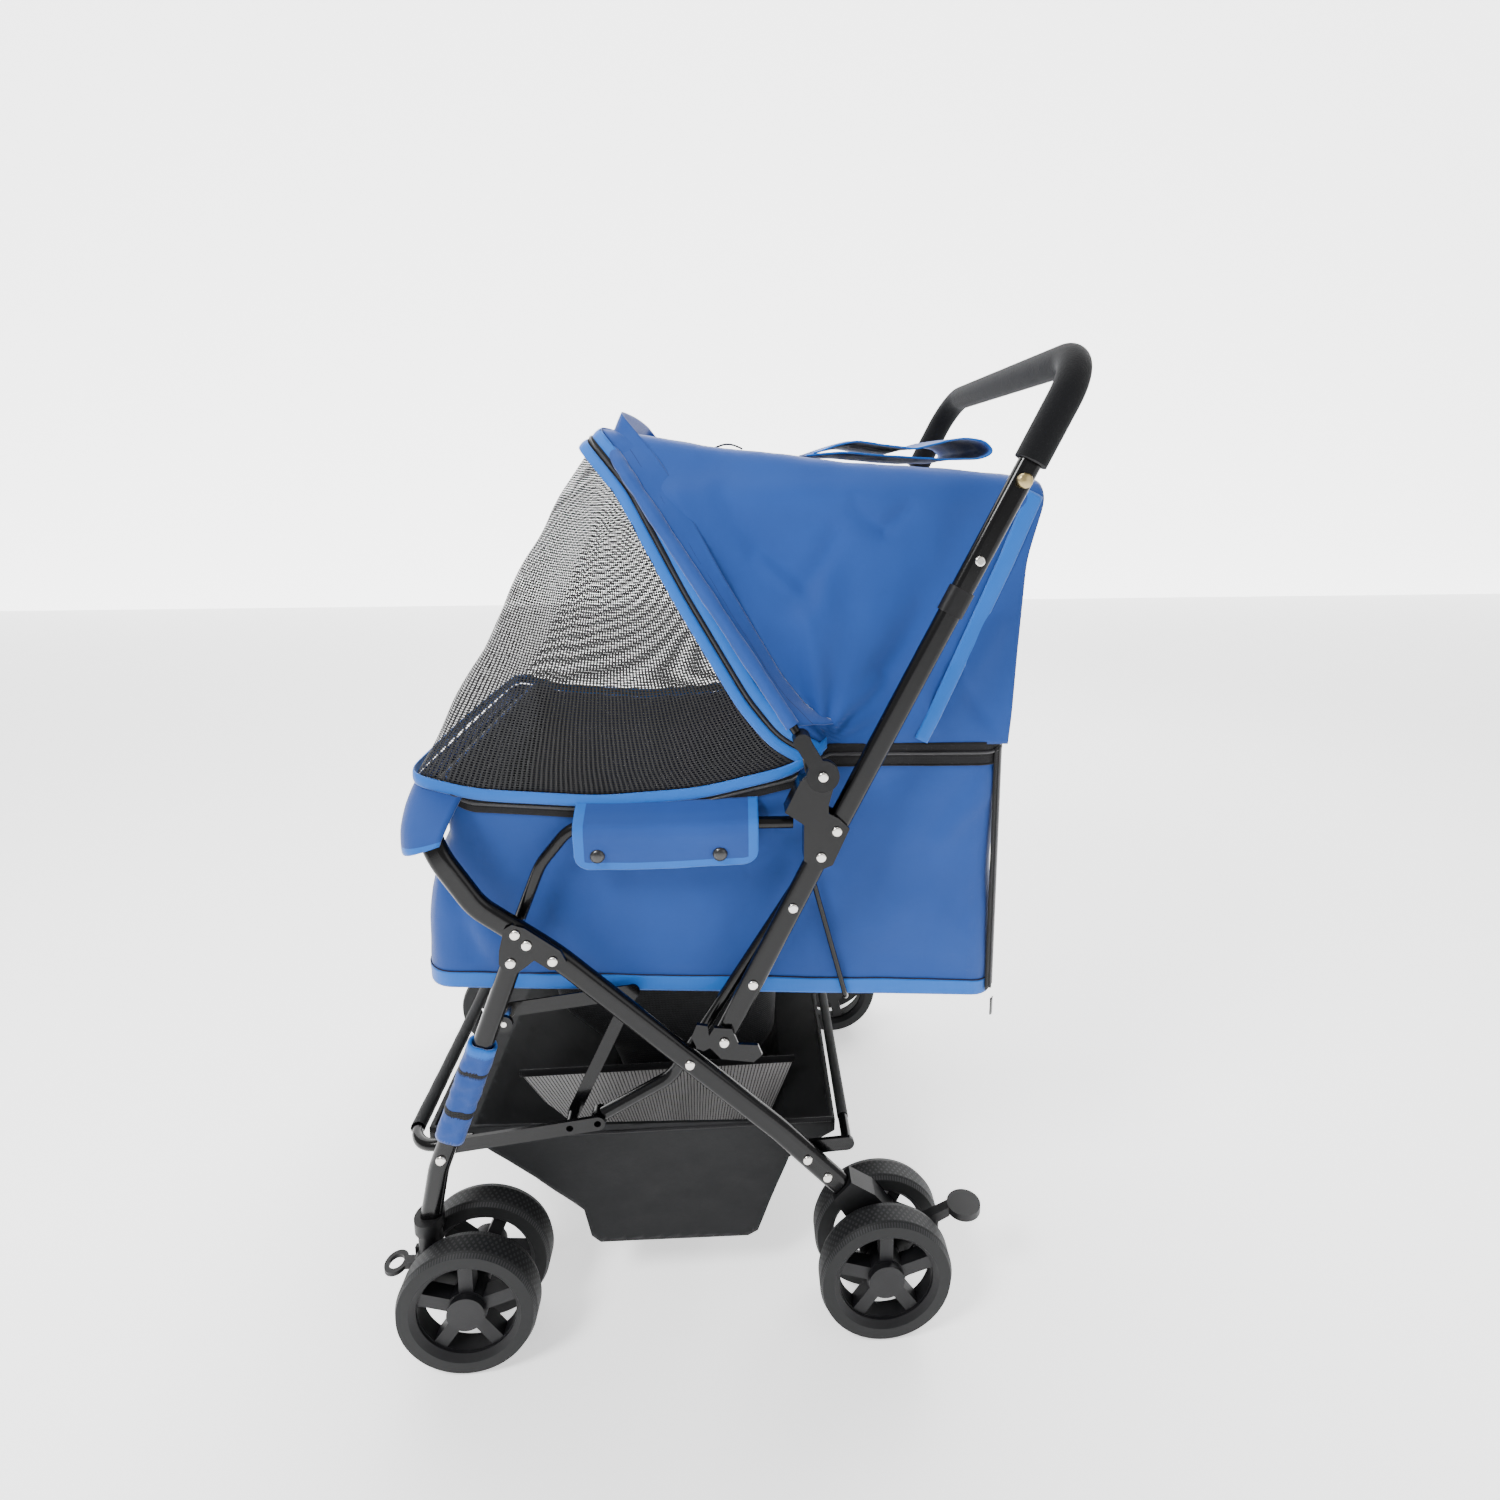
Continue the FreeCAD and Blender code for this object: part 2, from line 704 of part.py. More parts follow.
def make_floor_wire():
    """Wire stay fixed to the uprights' inner faces, down and across under the floor."""
    plane = size("wire_plane")
    tube_in = tube_faces()[0]
    left = [station("wire_top", -tube_in), station("wire_top", -plane),
            station("wire_floor", -plane)]
    right = [Vector(p.x, -p.y, p.z) for p in reversed(left)]
    wire = rod(left + right, [7.0, 12.0, 12.0, 7.0], size("wire_radius"))
    feature("floor_wire", wire)


def make_upright_rivets():
    tube_in, tube_out = tube_faces()
    flat_in = flat_faces()[0]
    plate_out = outer_plate_faces()[1]
    rod_in = size("rod_plane") - size("rod_radius")
    disc_out = plate_out + size("plate_gap") + size("hub_disc_thickness")
    pins = []
    for _, side in SIDES:
        pins.append(pin("upright_rivet", side, tube_in, tube_out))
        pins.append(pin("lever_top", side, rod_in, tube_out))
        pins.append(pin("upright_top", side, flat_in, plate_out))
        pins.append(pin("handle_pivot", side, flat_in, plate_out, "pin_radius"))
        pins.append(pin("canopy_pivot", side, tube_out, disc_out + size("plate_gap"),
                        "pin_radius"))
        pins.append(pin("lock_rivet", side, tube_in, plate_out + size("plate_gap")))
    feature("upright_rivets", Part.makeCompound(pins))


LATCH = ((34, 318), (50, 316), (56, 300), (74, 298), (78, 288), (70, 281), (40, 286),
         (30, 298), (24, 295), (18, 298), (13, 310), (18, 322), (28, 320), (29, 310))


def make_latches():
    """Fold latches: plates on the uprights' feet, with an ear in front and one behind."""
    low, high = outer_plate_faces()
    for side_name, side in SIDES:
        plate = slab(LATCH, *span(side, low, high))
        plate = drill(plate, side, ("lock_rivet",), "rivet_radius", size("running_gap"))
        feature("fold_latch_" + side_name, plate)


# ---------------------------------------------------------------- front legs and links
def front_leg_points(side):
    y = side * size("leg_plane")
    return [station(n, y) for n in ("front_pivot", "front_knee", "front_end")]


def front_tube(side, solid=False, grow=0.0):
    """The front leg's tube, or a solid of its outer shape grown by a gap."""
    width = size("front_tube_width") + 2 * grow
    depth = size("tube_depth") + 2 * grow
    wall = 2 * size("tube_wall")
    points = front_leg_points(side)
    path = arc_path(points, [size("tube_bend")])
    along = (points[1] - points[0]).normalize()
    rings = [oval(points[0], along, ACROSS, width, depth)]
    if not solid:
        rings.append(oval(points[0], along, ACROSS, width - wall, depth - wall))
    return sweep(path, rings)


def make_front_legs():
    """Legs with a round eye at the pivot and a welded tab for the upper link."""
    tube_in, tube_out = tube_faces()
    for side_name, side in SIDES:
        leg = front_tube(side)
        eye_faces = span(side, tube_in, tube_out)
        eye = disc(station("front_pivot"), *eye_faces, size("front_tube_width") / 2)
        tab = disc(station("upper_pivot"), *span(side, tube_in, tube_in + 3.0), 8.0)
        leg = leg.fuse(eye).fuse(tab).removeSplitter()
        leg = drill(leg, side, ("front_pivot",), "pin_radius", size("running_gap"))
        leg = drill(leg, side, ("bar_pivot", "upper_pivot"))
        feature("front_leg_" + side_name, leg)


def make_caster_sockets():
    """Sockets on the front legs' ends, bored from below for the swivel stems."""
    for side_name, side in SIDES:
        base = station("swivel", side * size("leg_plane"))
        up = Vector(0, 0, 1)
        neck = Part.makeCylinder(size("neck_radius"), size("socket_neck"), base, up)
        head = Part.makeCylinder(size("socket_radius"), size("socket_head"),
                                 base + up * (size("socket_neck") - 1.0), up)
        bore = Part.makeCylinder(size("swivel_radius") + size("running_gap"), size("socket_bore"),
                                 base, up)
        body = neck.fuse(head).removeSplitter().cut(front_tube(side, solid=True)).cut(bore)
        feature("caster_socket_" + side_name, body)


def make_leg_sleeves():
    """Fabric sleeves round the front legs, closed along the rear edge."""
    sleeves = []
    for _, side in SIDES:
        y = side * size("leg_plane")
        top = station("sleeve_top", y)
        end = station("sleeve_end", y)
        along = (end - top).normalize()
        path = Part.Wire([Part.makeLine(top, end)])
        outer = oval(top, along, ACROSS, 27.0, 15.6)
        inner = oval(top, along, ACROSS, 20.4, 12.8)
        sleeves.append(sweep(path, [outer, inner]))
    feature("leg_sleeves", Part.makeCompound(sleeves))


def make_front_rivets():
    """Rivets of the front legs; a bush holds each upper link off the leg."""
    tube_in, tube_out = tube_faces()
    flat_in = flat_faces()[0]
    link_in, link_out = link_faces()[0]
    pins = []
    for _, side in SIDES:
        pins.append(pin("bar_pivot", side, flat_in, tube_out))
        shaft = disc(station("upper_pivot"), *span(side, link_in, tube_in + 3.0),
                     size("rivet_radius"))
        bush = disc(station("upper_pivot"), *span(side, link_out + size("plate_gap"), tube_in),
                    size("bush_radius"))
        pins.append(join([shaft, bush]))
    feature("front_rivets", Part.makeCompound(pins))


def make_basket_bar():
    """Front bar of the basket: flat side arms welded to a round bow."""
    low, high = flat_faces()
    plane = size("bar_plane")
    arms = []
    for _, side in SIDES:
        arm = strap(station("lever_end"), station("bar_pivot"), size("flat_width"),
                    *span(side, low, high))
        arms.append(drill(arm, side, ("bar_pivot",), "rivet_radius", size("running_gap")))
    rear = Vector(station("bar_pivot").x + 22, 0, station("bar_pivot").z + 2)
    front = station("basket_front")
    corners = [Vector(p.x, y, p.z) for p, y in
               ((rear, -plane), (front, -plane), (front, plane), (rear, plane))]
    bow = rod(corners, [28.0, 28.0], size("bar_radius"))
    shape = join([bow] + arms)
    for _, side in SIDES:
        shape = drill(shape, side, ("bar_pivot",), "rivet_radius", size("running_gap"))
        shape = drill(shape, side, ("lever_end", "bar_link"), "rivet_radius", 0.8)
    feature("basket_bar", shape)


def upper_joint():
    """Where the upper link meets the drop link: the fourth corner of a parallelogram."""
    return station("bar_link") + station("upper_pivot") - station("bar_pivot")


def link_faces():
    """Layers of the upper and of the drop link, between the levers and the basket."""
    gap = size("plate_gap")
    upper_out = size("rod_plane") - size("rod_radius") - gap
    upper_in = upper_out - size("link_thickness")
    drop_out = upper_in - gap
    return (upper_in, upper_out), (drop_out - size("link_thickness"), drop_out)


def make_links():
    upper_faces, drop_faces = link_faces()
    bush_end = flat_faces()[0] - size("plate_gap")
    uppers = []
    drops = []
    for _, side in SIDES:
        link = strap(station("upper_pivot"), upper_joint(), size("flat_width"),
                     *span(side, *upper_faces))
        uppers.append(drill(link, side, ("upper_pivot",), "rivet_radius", size("running_gap")))
        bar = strap(station("bar_link"), upper_joint(), size("drop_link_width"),
                    *span(side, *drop_faces))
        bush = disc(station("bar_link"), *span(side, drop_faces[0], bush_end),
                    size("bush_radius"))
        drops.append(join([bar, bush]))
    feature("upper_links", Part.makeCompound(uppers))
    feature("drop_links", Part.makeCompound(drops))


# ---------------------------------------------------------------- handle
def make_handle():
    plane = size("leg_plane")
    tube_in, tube_out = tube_faces()
    for side_name, side in SIDES:
        foot = station("handle_pivot", side * plane)
        splice = station("handle_splice", side * plane)
        along = (splice - foot).normalize()
        tube = oval_tube([foot, splice], [], ACROSS)
        eye = disc(foot, *span(side, tube_in, tube_out), size("tube_width") / 2)
        tube = tube.fuse(eye).removeSplitter()
        tube = drill(tube, side, ("handle_pivot",), "pin_radius", size("running_gap"))
        feature("handle_tube_" + side_name, tube)
    left = station("handle_splice", -plane)
    right = station("handle_splice", plane)
    corners = [station("handle_top", -plane), station("handle_top", plane)]
    bend = size("handle_bend")
    bow = oval_tube([left] + corners + [right], [bend, bend], ACROSS)
    for _, side in SIDES:
        bow = drill(bow, side, ("handle_rivet", "handle_screw"))
    feature("handle_bow", bow)
    ends = [station("grip_end", -plane), station("grip_end", plane)]
    path = arc_path([ends[0]] + corners + [ends[1]], [bend, bend])
    along = (corners[0] - ends[0]).normalize()
    ring = Part.Wire(Part.makeCircle(size("grip_radius"), ends[0], along))
    hole = oval(ends[0], along, ACROSS, size("tube_width") + 0.2, size("tube_depth") + 0.2)
    feature("handle_grip", sweep(path, [ring, hole]))
    sleeves = []
    for _, side in SIDES:
        centre = station("handle_splice", side * plane)
        direction = (station("handle_top", side * plane) - centre).normalize()
        start = centre - direction * 12.0
        end = centre + direction * 12.0
        outer = oval(start, direction, ACROSS, size("tube_width") + 3.0, size("tube_depth") + 3.0)
        inner = oval(start, direction, ACROSS, size("tube_width") + 0.2, size("tube_depth") + 0.2)
        path = Part.Wire([Part.makeLine(start, end)])
        sleeves.append(sweep(path, [outer, inner]))
    feature("handle_joints", Part.makeCompound(sleeves))
    pins = []
    for _, side in SIDES:
        pins.append(pin("handle_rivet", side, tube_in, tube_out))
        pins.append(pin("handle_screw", side, tube_in, tube_out))
    feature("handle_rivets", Part.makeCompound(pins))


# ---------------------------------------------------------------- canopy frame
def hub_faces():
    low = outer_plate_faces()[1] + size("plate_gap")
    return low, low + size("hub_disc_thickness")


def make_canopy_frame():
    low, high = hub_faces()
    socket_in = low - 10.0
    bow_y = (low + high) / 2 - 6.0
    socket = station("bow_socket")
    for side_name, side in SIDES:
        hub = disc(station("canopy_pivot"), *span(side, low, high), size("hub_disc_radius"))
        arm = strap(station("canopy_pivot"), socket, 14.0, *span(side, low, high))
        cup = disc(socket, *span(side, socket_in, high), 8.0)
        body = join([hub, arm, cup])
        body = drill(body, side, ("canopy_pivot",), "pin_radius", size("running_gap"))
        feature("canopy_hub_" + side_name, body)
    top = station("bow_top")
    shoulder = 128.0
    rise = (top - socket).normalize()
    foot = socket + rise * 8.6
    points = [Vector(foot.x, -bow_y, foot.z), Vector(top.x, -shoulder, top.z),
              Vector(top.x, shoulder, top.z), Vector(foot.x, bow_y, foot.z)]
    bow = rod(points, [size("bow_bend")] * 2, size("bow_radius"))
    feature("canopy_bow", bow)


# ---------------------------------------------------------------- casters, locks and pedals
def make_casters():
    low, high = block_faces()
    top = size("swivel_z") - size("plate_gap")
    up = Vector(0, 0, 1)
    for side_name, side in SIDES:
        axle = Vector(front_wheel_x(side), 0, size("wheel_radius"))
        ahead = 1.0 if axle.x > size("swivel_x") else -1.0
        centre = Vector(size("swivel_x"), side * size("leg_plane"), 0)
        stem_base = centre + up * (top - 4.0)
        stem = Part.makeCylinder(size("swivel_radius"), 26.0, stem_base, up)
        crown = Part.makeCylinder(size("neck_radius"), 26.0, centre + up * (top - 26.0), up)
        bridge = strap(Vector(size("swivel_x"), 0, top - 17.0), axle, 24.0,
                       *span(side, low, high))
        fork = join([bridge, crown, stem])
        fork = fork.cut(disc(axle, *span(side, low, high), size("axle_radius")))
        lock_x = size("swivel_x") - ahead * 12.0
        lock_pin = Vector(lock_x, 0, top - 10.0)
        reach = sorted((lock_x - ahead * 12.0, lock_x + ahead * 4.8))
        notch = slab([(reach[0], top - 22), (reach[1], top - 22), (reach[1], top + 1),
                      (reach[0], top + 1)], *layer(side, size("leg_plane"), 10.6))
        fork = fork.cut(notch)
        ears = [slab([(lock_x - 6, top - 16), (lock_x + 6, top - 16), (lock_x + 6, top - 3),
                      (lock_x - 6, top - 3)], *span(side, *faces))
                for faces in ((low, size("leg_plane") - 5.3), (size("leg_plane") + 5.3, high))]
        fork = join([fork] + ears)
        hole = disc(lock_pin, *span(side, low, high), size("rivet_radius"))
        fork = fork.cut(hole)
        feature("caster_fork_" + side_name, fork)
        feature("front_axle_" + side_name,
                disc(axle, *span(side, *axle_faces()), size("axle_radius")))
        make_lock(side_name, side, lock_pin, ahead)


def make_lock(side_name, side, hinge, ahead):
    """Swivel lock: a flat finger loop on its own pin, in the fork's front notch."""
    half = 4.9
    low, high = size("leg_plane") - half, size("leg_plane") + half
    root = disc(hinge, *span(side, low, high), 4.5)
    reach = [(hinge.x, hinge.z - 4.4), (hinge.x - ahead * 26, hinge.z - 4.4),
             (hinge.x - ahead * 26, hinge.z - 0.4), (hinge.x, hinge.z - 0.4)]
    blade = slab(reach, *span(side, low, high))
    centre = Vector(hinge.x - ahead * 21, side * size("leg_plane"), hinge.z - 4.4)
    up = Vector(0, 0, 1)
    ring = Part.makeCylinder(10.5, 4.0, centre, up)
    loop = Part.makeCylinder(6.5, 4.0, centre, up)
    lever = join([root, blade, ring]).cut(loop)
    shaft = disc(hinge, *span(side, low - 3.8, high + 3.8), size("rivet_radius")
                 - size("running_gap"))
    feature("lock_lever_" + side_name, join([lever, shaft]))


PEDAL_ARM = ((216, 90), (228, 90), (262, 106), (262, 96), (229, 78), (216, 78))


def make_pedals():
    """Brake pedals: an arm in the bracket's slot and an oval tread behind the wheels."""
    pivot = station("pedal_pivot")
    half = 4.0
    plane = size("leg_plane")
    for side_name, side in SIDES:
        arm = slab(PEDAL_ARM, *span(side, plane - half, plane + half))
        root = disc(pivot, *span(side, plane - half, plane + half), 6.6)
        tread_base = Vector(277.0, side * plane, 99.0)
        tread = Part.makeCylinder(16.5, 7.0, tread_base, Vector(0, 0, 1))
        stretch = FreeCAD.Matrix()
        stretch.scale(Vector(1.0, 0.82, 1.0))
        tread.translate(tread_base * -1)
        tread = tread.transformGeometry(stretch)
        tread.translate(tread_base)
        shaft = disc(pivot, *span(side, plane - 8.9, plane + 8.9),
                     size("rivet_radius") - size("running_gap"))
        feature("brake_pedal_" + side_name, join([arm, root, tread, shaft]))


# ---------------------------------------------------------------- output
def check_and_export():
    doc.recompute()
    for obj in doc.Objects:
        if "Invalid" in obj.State or "Error" in obj.State:
            raise RuntimeError("%s did not build: %s" % (obj.Label, obj.State))
    bad = [obj.Label for obj in subparts
           if obj.Shape.isNull() or not obj.Shape.isValid() or not obj.Shape.Solids]
    if bad:
        raise RuntimeError("no valid solid: " + ", ".join(bad))
    os.makedirs("parts", exist_ok=True)
    for obj in subparts:
        obj.Shape.exportStep("parts/%s.step" % obj.Label)


for make in (make_rear_legs, make_front_bumper, make_gusset_plates, make_tray_arms,
             make_rear_brackets, make_rear_axles, make_basket_rail, make_frame_rivets,
             make_cabin_tub, make_floor_board, make_canopy, make_basket, make_uprights,
             make_levers, make_hinge_plates, make_floor_wire, make_upright_rivets,
             make_latches, make_front_legs, make_caster_sockets, make_leg_sleeves,
             make_front_rivets, make_basket_bar, make_links, make_handle,
             make_canopy_frame, make_casters, make_pedals, make_wheels):
    make()
check_and_export()
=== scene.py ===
"""Looks of the pet stroller: cloth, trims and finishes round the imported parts. Lengths in mm from the datum."""
import json
import math

import bmesh
import bpy
import numpy as np
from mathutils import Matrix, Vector, noise


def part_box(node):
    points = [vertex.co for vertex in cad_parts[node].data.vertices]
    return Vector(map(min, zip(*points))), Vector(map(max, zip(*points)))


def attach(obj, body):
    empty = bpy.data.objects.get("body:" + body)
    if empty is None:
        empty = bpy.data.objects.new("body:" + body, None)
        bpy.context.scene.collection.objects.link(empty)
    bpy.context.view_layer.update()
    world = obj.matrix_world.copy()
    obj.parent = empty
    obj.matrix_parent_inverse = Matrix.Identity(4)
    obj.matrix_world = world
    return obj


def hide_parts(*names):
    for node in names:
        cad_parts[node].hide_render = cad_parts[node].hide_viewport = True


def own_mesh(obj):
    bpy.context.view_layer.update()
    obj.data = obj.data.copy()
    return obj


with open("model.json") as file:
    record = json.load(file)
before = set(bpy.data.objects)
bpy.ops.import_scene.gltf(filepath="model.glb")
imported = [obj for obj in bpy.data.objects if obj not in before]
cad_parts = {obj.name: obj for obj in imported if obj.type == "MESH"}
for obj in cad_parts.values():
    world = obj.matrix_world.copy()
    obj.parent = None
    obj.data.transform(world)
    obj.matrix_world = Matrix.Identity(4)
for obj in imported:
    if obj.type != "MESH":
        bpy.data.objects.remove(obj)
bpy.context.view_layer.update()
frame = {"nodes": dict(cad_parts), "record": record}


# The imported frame's origin, measured from the datum
SHIFT = 16.23
SIDES = (("left", -1.0), ("right", 1.0))
CABIN_FRONT, CABIN_BACK, CABIN_HALF, CABIN_CORNER = -238.0, 313.0, 168.0, 26.0
FLOOR_FRONT, FLOOR_BACK, FLOOR_LENGTH, FLOOR_INSET = 347, 309, 550, 3.0
FLAP_FRONT, FLAP_BACK, FLAP_CORNER = -90, 76, 15
TYRE_RADIUS, RIM_RADIUS = 0.0635, 0.0515
# Lines (x, z) of the cabin and canopy, seen from the side
RIM = ((313, 568), (140, 571), (111, 544), (22, 524), (-70, 519), (-180, 529), (-238, 546))
ROOF = ((-66, 862), (-11, 855), (44, 846), (119, 836), (215, 828), (313, 818), (346, 815))
BOW = ((140, 571), (106, 590), (79, 624), (25, 717), (-27, 815), (-66, 862))
REAR = ((313, 568), (321, 656), (330, 741), (351, 800), (346, 815))
FRONT = ((-238, 547), (-170, 665), (-112, 787), (-66, 862))


# ---------------------------------------------------------------- shader helpers

def new_material(name, colour, roughness=0.5, metallic=0.0, **extra):
    material = bpy.data.materials.new(name)
    material.use_nodes = True
    shader = material.node_tree.nodes["Principled BSDF"]
    shader.inputs["Base Color"].default_value = (*colour, 1)
    shader.inputs["Roughness"].default_value = roughness
    shader.inputs["Metallic"].default_value = metallic
    for key, value in extra.items():
        shader.inputs[key.replace("_", " ")].default_value = value
    return material


class Net:
    """Short hand for the nodes of one material."""

    def __init__(self, material):
        self.tree = material.node_tree
        self.shader = self.tree.nodes["Principled BSDF"]
        self.output = self.tree.nodes["Material Output"]

    def add(self, kind, inputs=(), **settings):
        node = self.tree.nodes.new("ShaderNode" + kind)
        for key, value in settings.items():
            setattr(node, key, value)
        for key, value in dict(inputs).items():
            if isinstance(value, bpy.types.NodeSocket):
                self.tree.links.new(value, node.inputs[key])
            else:
                node.inputs[key].default_value = value
        return node

    def math(self, operation, first, second=0.0):
        return self.add("Math", {0: first, 1: second}, operation=operation).outputs[0]

    def noise(self, scale, detail=3.0):
        where = self.add("TexCoord").outputs["Object"]
        return self.add("TexNoise", {"Vector": where, "Scale": scale, "Detail": detail,
                                     "Roughness": 0.5}).outputs["Fac"]

    def threads(self, pitch):
        """Two sine waves along the cloth's warp and weft, each from 0 to 1, pitch in metres."""
        where = self.add("TexCoord").outputs["UV"]
        parts = self.add("SeparateXYZ", {0: where})
        waves = []
        for axis in (0, 1):
            turn = self.math("MULTIPLY", parts.outputs[axis], 2 * math.pi / pitch)
            wave = self.math("SINE", turn)
            waves.append(self.math("MULTIPLY_ADD", wave, 0.5))
            waves[-1].node.inputs[2].default_value = 0.5
        return waves

    def bump(self, height, distance, strength=1.0, below=None):
        inputs = {"Height": height, "Distance": distance, "Strength": strength}
        if below is not None:
            inputs["Normal"] = below
        return self.add("Bump", inputs).outputs["Normal"]

    def ramp(self, factor, low, high, at=(0.3, 0.7)):
        node = self.add("ValToRGB", {"Fac": factor})
        node.color_ramp.elements[0].position, node.color_ramp.elements[1].position = at
        node.color_ramp.elements[0].color = (*low, 1)
        node.color_ramp.elements[1].color = (*high, 1)
        return node.outputs["Color"]

    def set(self, key, value):
        self.tree.links.new(value, self.shader.inputs[key])


def cloth(name, colour, pitch=0.0009, sheen=0.25, rough=0.72, wear=0.12, depth=0.00012):
    material = new_material(name, colour, rough, Sheen_Weight=sheen, Sheen_Roughness=0.4,
                            Specular_IOR_Level=0.25)
    net = Net(material)
    warp, weft = net.threads(pitch)
    weave = net.math("MULTIPLY", warp, weft)
    soft = net.noise(9.0, 4.0)
    fine = net.noise(220.0, 2.0)
    normal = net.bump(soft, 0.004, 0.35)
    normal = net.bump(fine, 0.0004, 0.3, normal)
    net.set("Normal", net.bump(weave, depth, 0.5, normal))
    dark = tuple(c * (1 - wear) for c in colour)
    light = tuple(min(1, c * (1 + wear)) for c in colour)
    net.set("Base Color", net.ramp(net.math("ADD", net.math("MULTIPLY", soft, 0.7),
                                            net.math("MULTIPLY", weave, 0.3)), dark, light))
    return material


def open_mesh(name, colour, pitch, solid, rough=0.6, ribs=0.0):
    """Knitted mesh: holes between the threads let light through."""
    material = new_material(name, colour, rough, Specular_IOR_Level=0.3)
    net = Net(material)
    warp, weft = net.threads(pitch)
    if ribs:
        weft = net.math("MAXIMUM", weft, ribs)
    hole = net.math("MULTIPLY", warp, weft)
    mask = net.add("MapRange", {"Value": hole, "From Min": solid - 0.08, "From Max": solid + 0.08,
                                "To Min": 1.0, "To Max": 0.0}).outputs[0]
    clear = net.add("BsdfTransparent")
    mixed = net.add("MixShader", {0: mask, 1: clear.outputs[0], 2: net.shader.outputs[0]})
    net.set("Normal", net.bump(hole, 0.0004, 0.6))
    net.tree.links.new(mixed.outputs[0], net.output.inputs["Surface"])
    return material


def paint(name, colour, rough, coat=0.0, grain=900.0, depth=0.00004, **extra):
    material = new_material(name, colour, rough, Coat_Weight=coat, Coat_Roughness=0.08, **extra)
    net = Net(material)
    net.set("Normal", net.bump(net.noise(grain, 2.0), depth, 0.5))
    smear = net.add("MapRange", {"Value": net.noise(35.0, 4.0), "To Min": rough * 0.8,
                                 "To Max": min(1, rough * 1.3)}).outputs[0]
    net.set("Roughness", smear)
    return material


def foam():
    material = new_material("foam_black", (0.004, 0.0042, 0.005), 0.92, Specular_IOR_Level=0.12,
                            Sheen_Weight=0.08)
    net = Net(material)
    where = net.add("TexCoord").outputs["Object"]
    cells = net.add("TexVoronoi", {"Vector": where, "Scale": 700.0}).outputs["Distance"]
    net.set("Normal", net.bump(cells, 0.0004, 0.7, net.bump(net.noise(60.0), 0.001, 0.3)))
    return material


def tyre():
    """Rubber with a diamond tread; u runs round the tyre and v across it, in metres."""
    material = new_material("tyre_black", (0.007, 0.007, 0.008), 0.6, Specular_IOR_Level=0.25)
    net = Net(material)
    parts = net.add("SeparateXYZ", {0: net.add("TexCoord").outputs["UV"]})
    u, v = parts.outputs[0], parts.outputs[1]
    across = net.math("ABSOLUTE", v)
    slant = []
    for sign in (1.0, -1.0):
        line = net.math("ADD", net.math("MULTIPLY", u, 2 * math.pi / 0.0057),
                        net.math("MULTIPLY", v, sign * 2 * math.pi / 0.0057))
        slant.append(net.math("GREATER_THAN", net.math("SINE", line), 0.0))
    diamond = net.math("MULTIPLY", slant[0], slant[1])
    ribs = net.math("MULTIPLY", u, 2 * math.pi / 0.0028)
    teeth = net.math("GREATER_THAN", net.math("SINE", ribs), 0.0)
    middle = net.math("LESS_THAN", across, 0.0078)
    shoulder = net.math("MULTIPLY", net.math("GREATER_THAN", across, 0.0086),
                        net.math("LESS_THAN", across, 0.0118))
    height = net.math("ADD", net.math("MULTIPLY", diamond, middle),
                      net.math("MULTIPLY", teeth, shoulder))
    net.set("Normal", net.bump(height, 0.0007, 1.0, net.bump(net.noise(500.0), 0.0001, 0.4)))
    # Painted shade: the grooves and flats between the tread are painted darker than the raised diamonds and
    # teeth.
    net.set("Base Color", net.ramp(height, (0.006, 0.0065, 0.007), (0.022, 0.0225, 0.024),
                                   (0.2, 0.9)))
    return material


BLUE = (0.012, 0.055, 0.245)
SKY = (0.006, 0.115, 0.47)
NAVY = (0.012, 0.014, 0.035)
MATERIALS = {
    "fabric_blue": cloth("fabric_blue", BLUE),
    "fabric_sky": cloth("fabric_sky", SKY, 0.0012, 0.3, 0.6),
    "fabric_navy": cloth("fabric_navy", NAVY, 0.0011, 0.1, 0.85),
    "fabric_black": cloth("fabric_black", (0.004, 0.0045, 0.0055), 0.0010, 0.06, 0.7),
    "webbing_black": cloth("webbing_black", (0.006, 0.006, 0.007), 0.0024, 0.1, 0.75,
                           depth=0.0004),
    "mesh_black": open_mesh("mesh_black", (0.012, 0.012, 0.013), 0.0024, 0.30),
    "mesh_grey": open_mesh("mesh_grey", (0.46, 0.45, 0.45), 0.0030, 0.72, ribs=0.8),
    "mesh_dark": cloth("mesh_dark", (0.006, 0.0065, 0.0075), 0.0030, 0.06, 0.7, depth=0.0006),
    "board_navy": cloth("board_navy", NAVY, 0.002, 0.1, 0.85),
    "tube_black": paint("tube_black", (0.0015, 0.0015, 0.0018), 0.2, 0.12,
                        Specular_IOR_Level=0.22),
    "plastic_black": paint("plastic_black", (0.004, 0.004, 0.0045), 0.42, grain=1400.0,
                           depth=0.00012, Specular_IOR_Level=0.25),
    "snap_black": paint("snap_black", (0.01, 0.01, 0.011), 0.3, 0.3),
    "zip_teeth": paint("zip_teeth", (0.02, 0.02, 0.022), 0.35, grain=1500.0, depth=0.0004),
    "steel": paint("steel", (0.45, 0.45, 0.46), 0.3, Metallic=1.0),
    "rivet_steel": paint("rivet_steel", (0.72, 0.70, 0.66), 0.22, Metallic=1.0),
    "brass": paint("brass", (0.42, 0.33, 0.16), 0.35, Metallic=1.0),
    "foam_black": foam(),
    "tyre_black": tyre(),
    "rim_black": paint("rim_black", (0.005, 0.005, 0.006), 0.45, grain=1200.0, depth=0.00012,
                       Specular_IOR_Level=0.25),
}


# ---------------------------------------------------------------- geometry helpers

def unit(a):
    return a / np.maximum(np.linalg.norm(a, axis=-1, keepdims=True), 1e-9)


def normals(p):
    return unit(np.cross(np.gradient(p, axis=0), np.gradient(p, axis=1)))


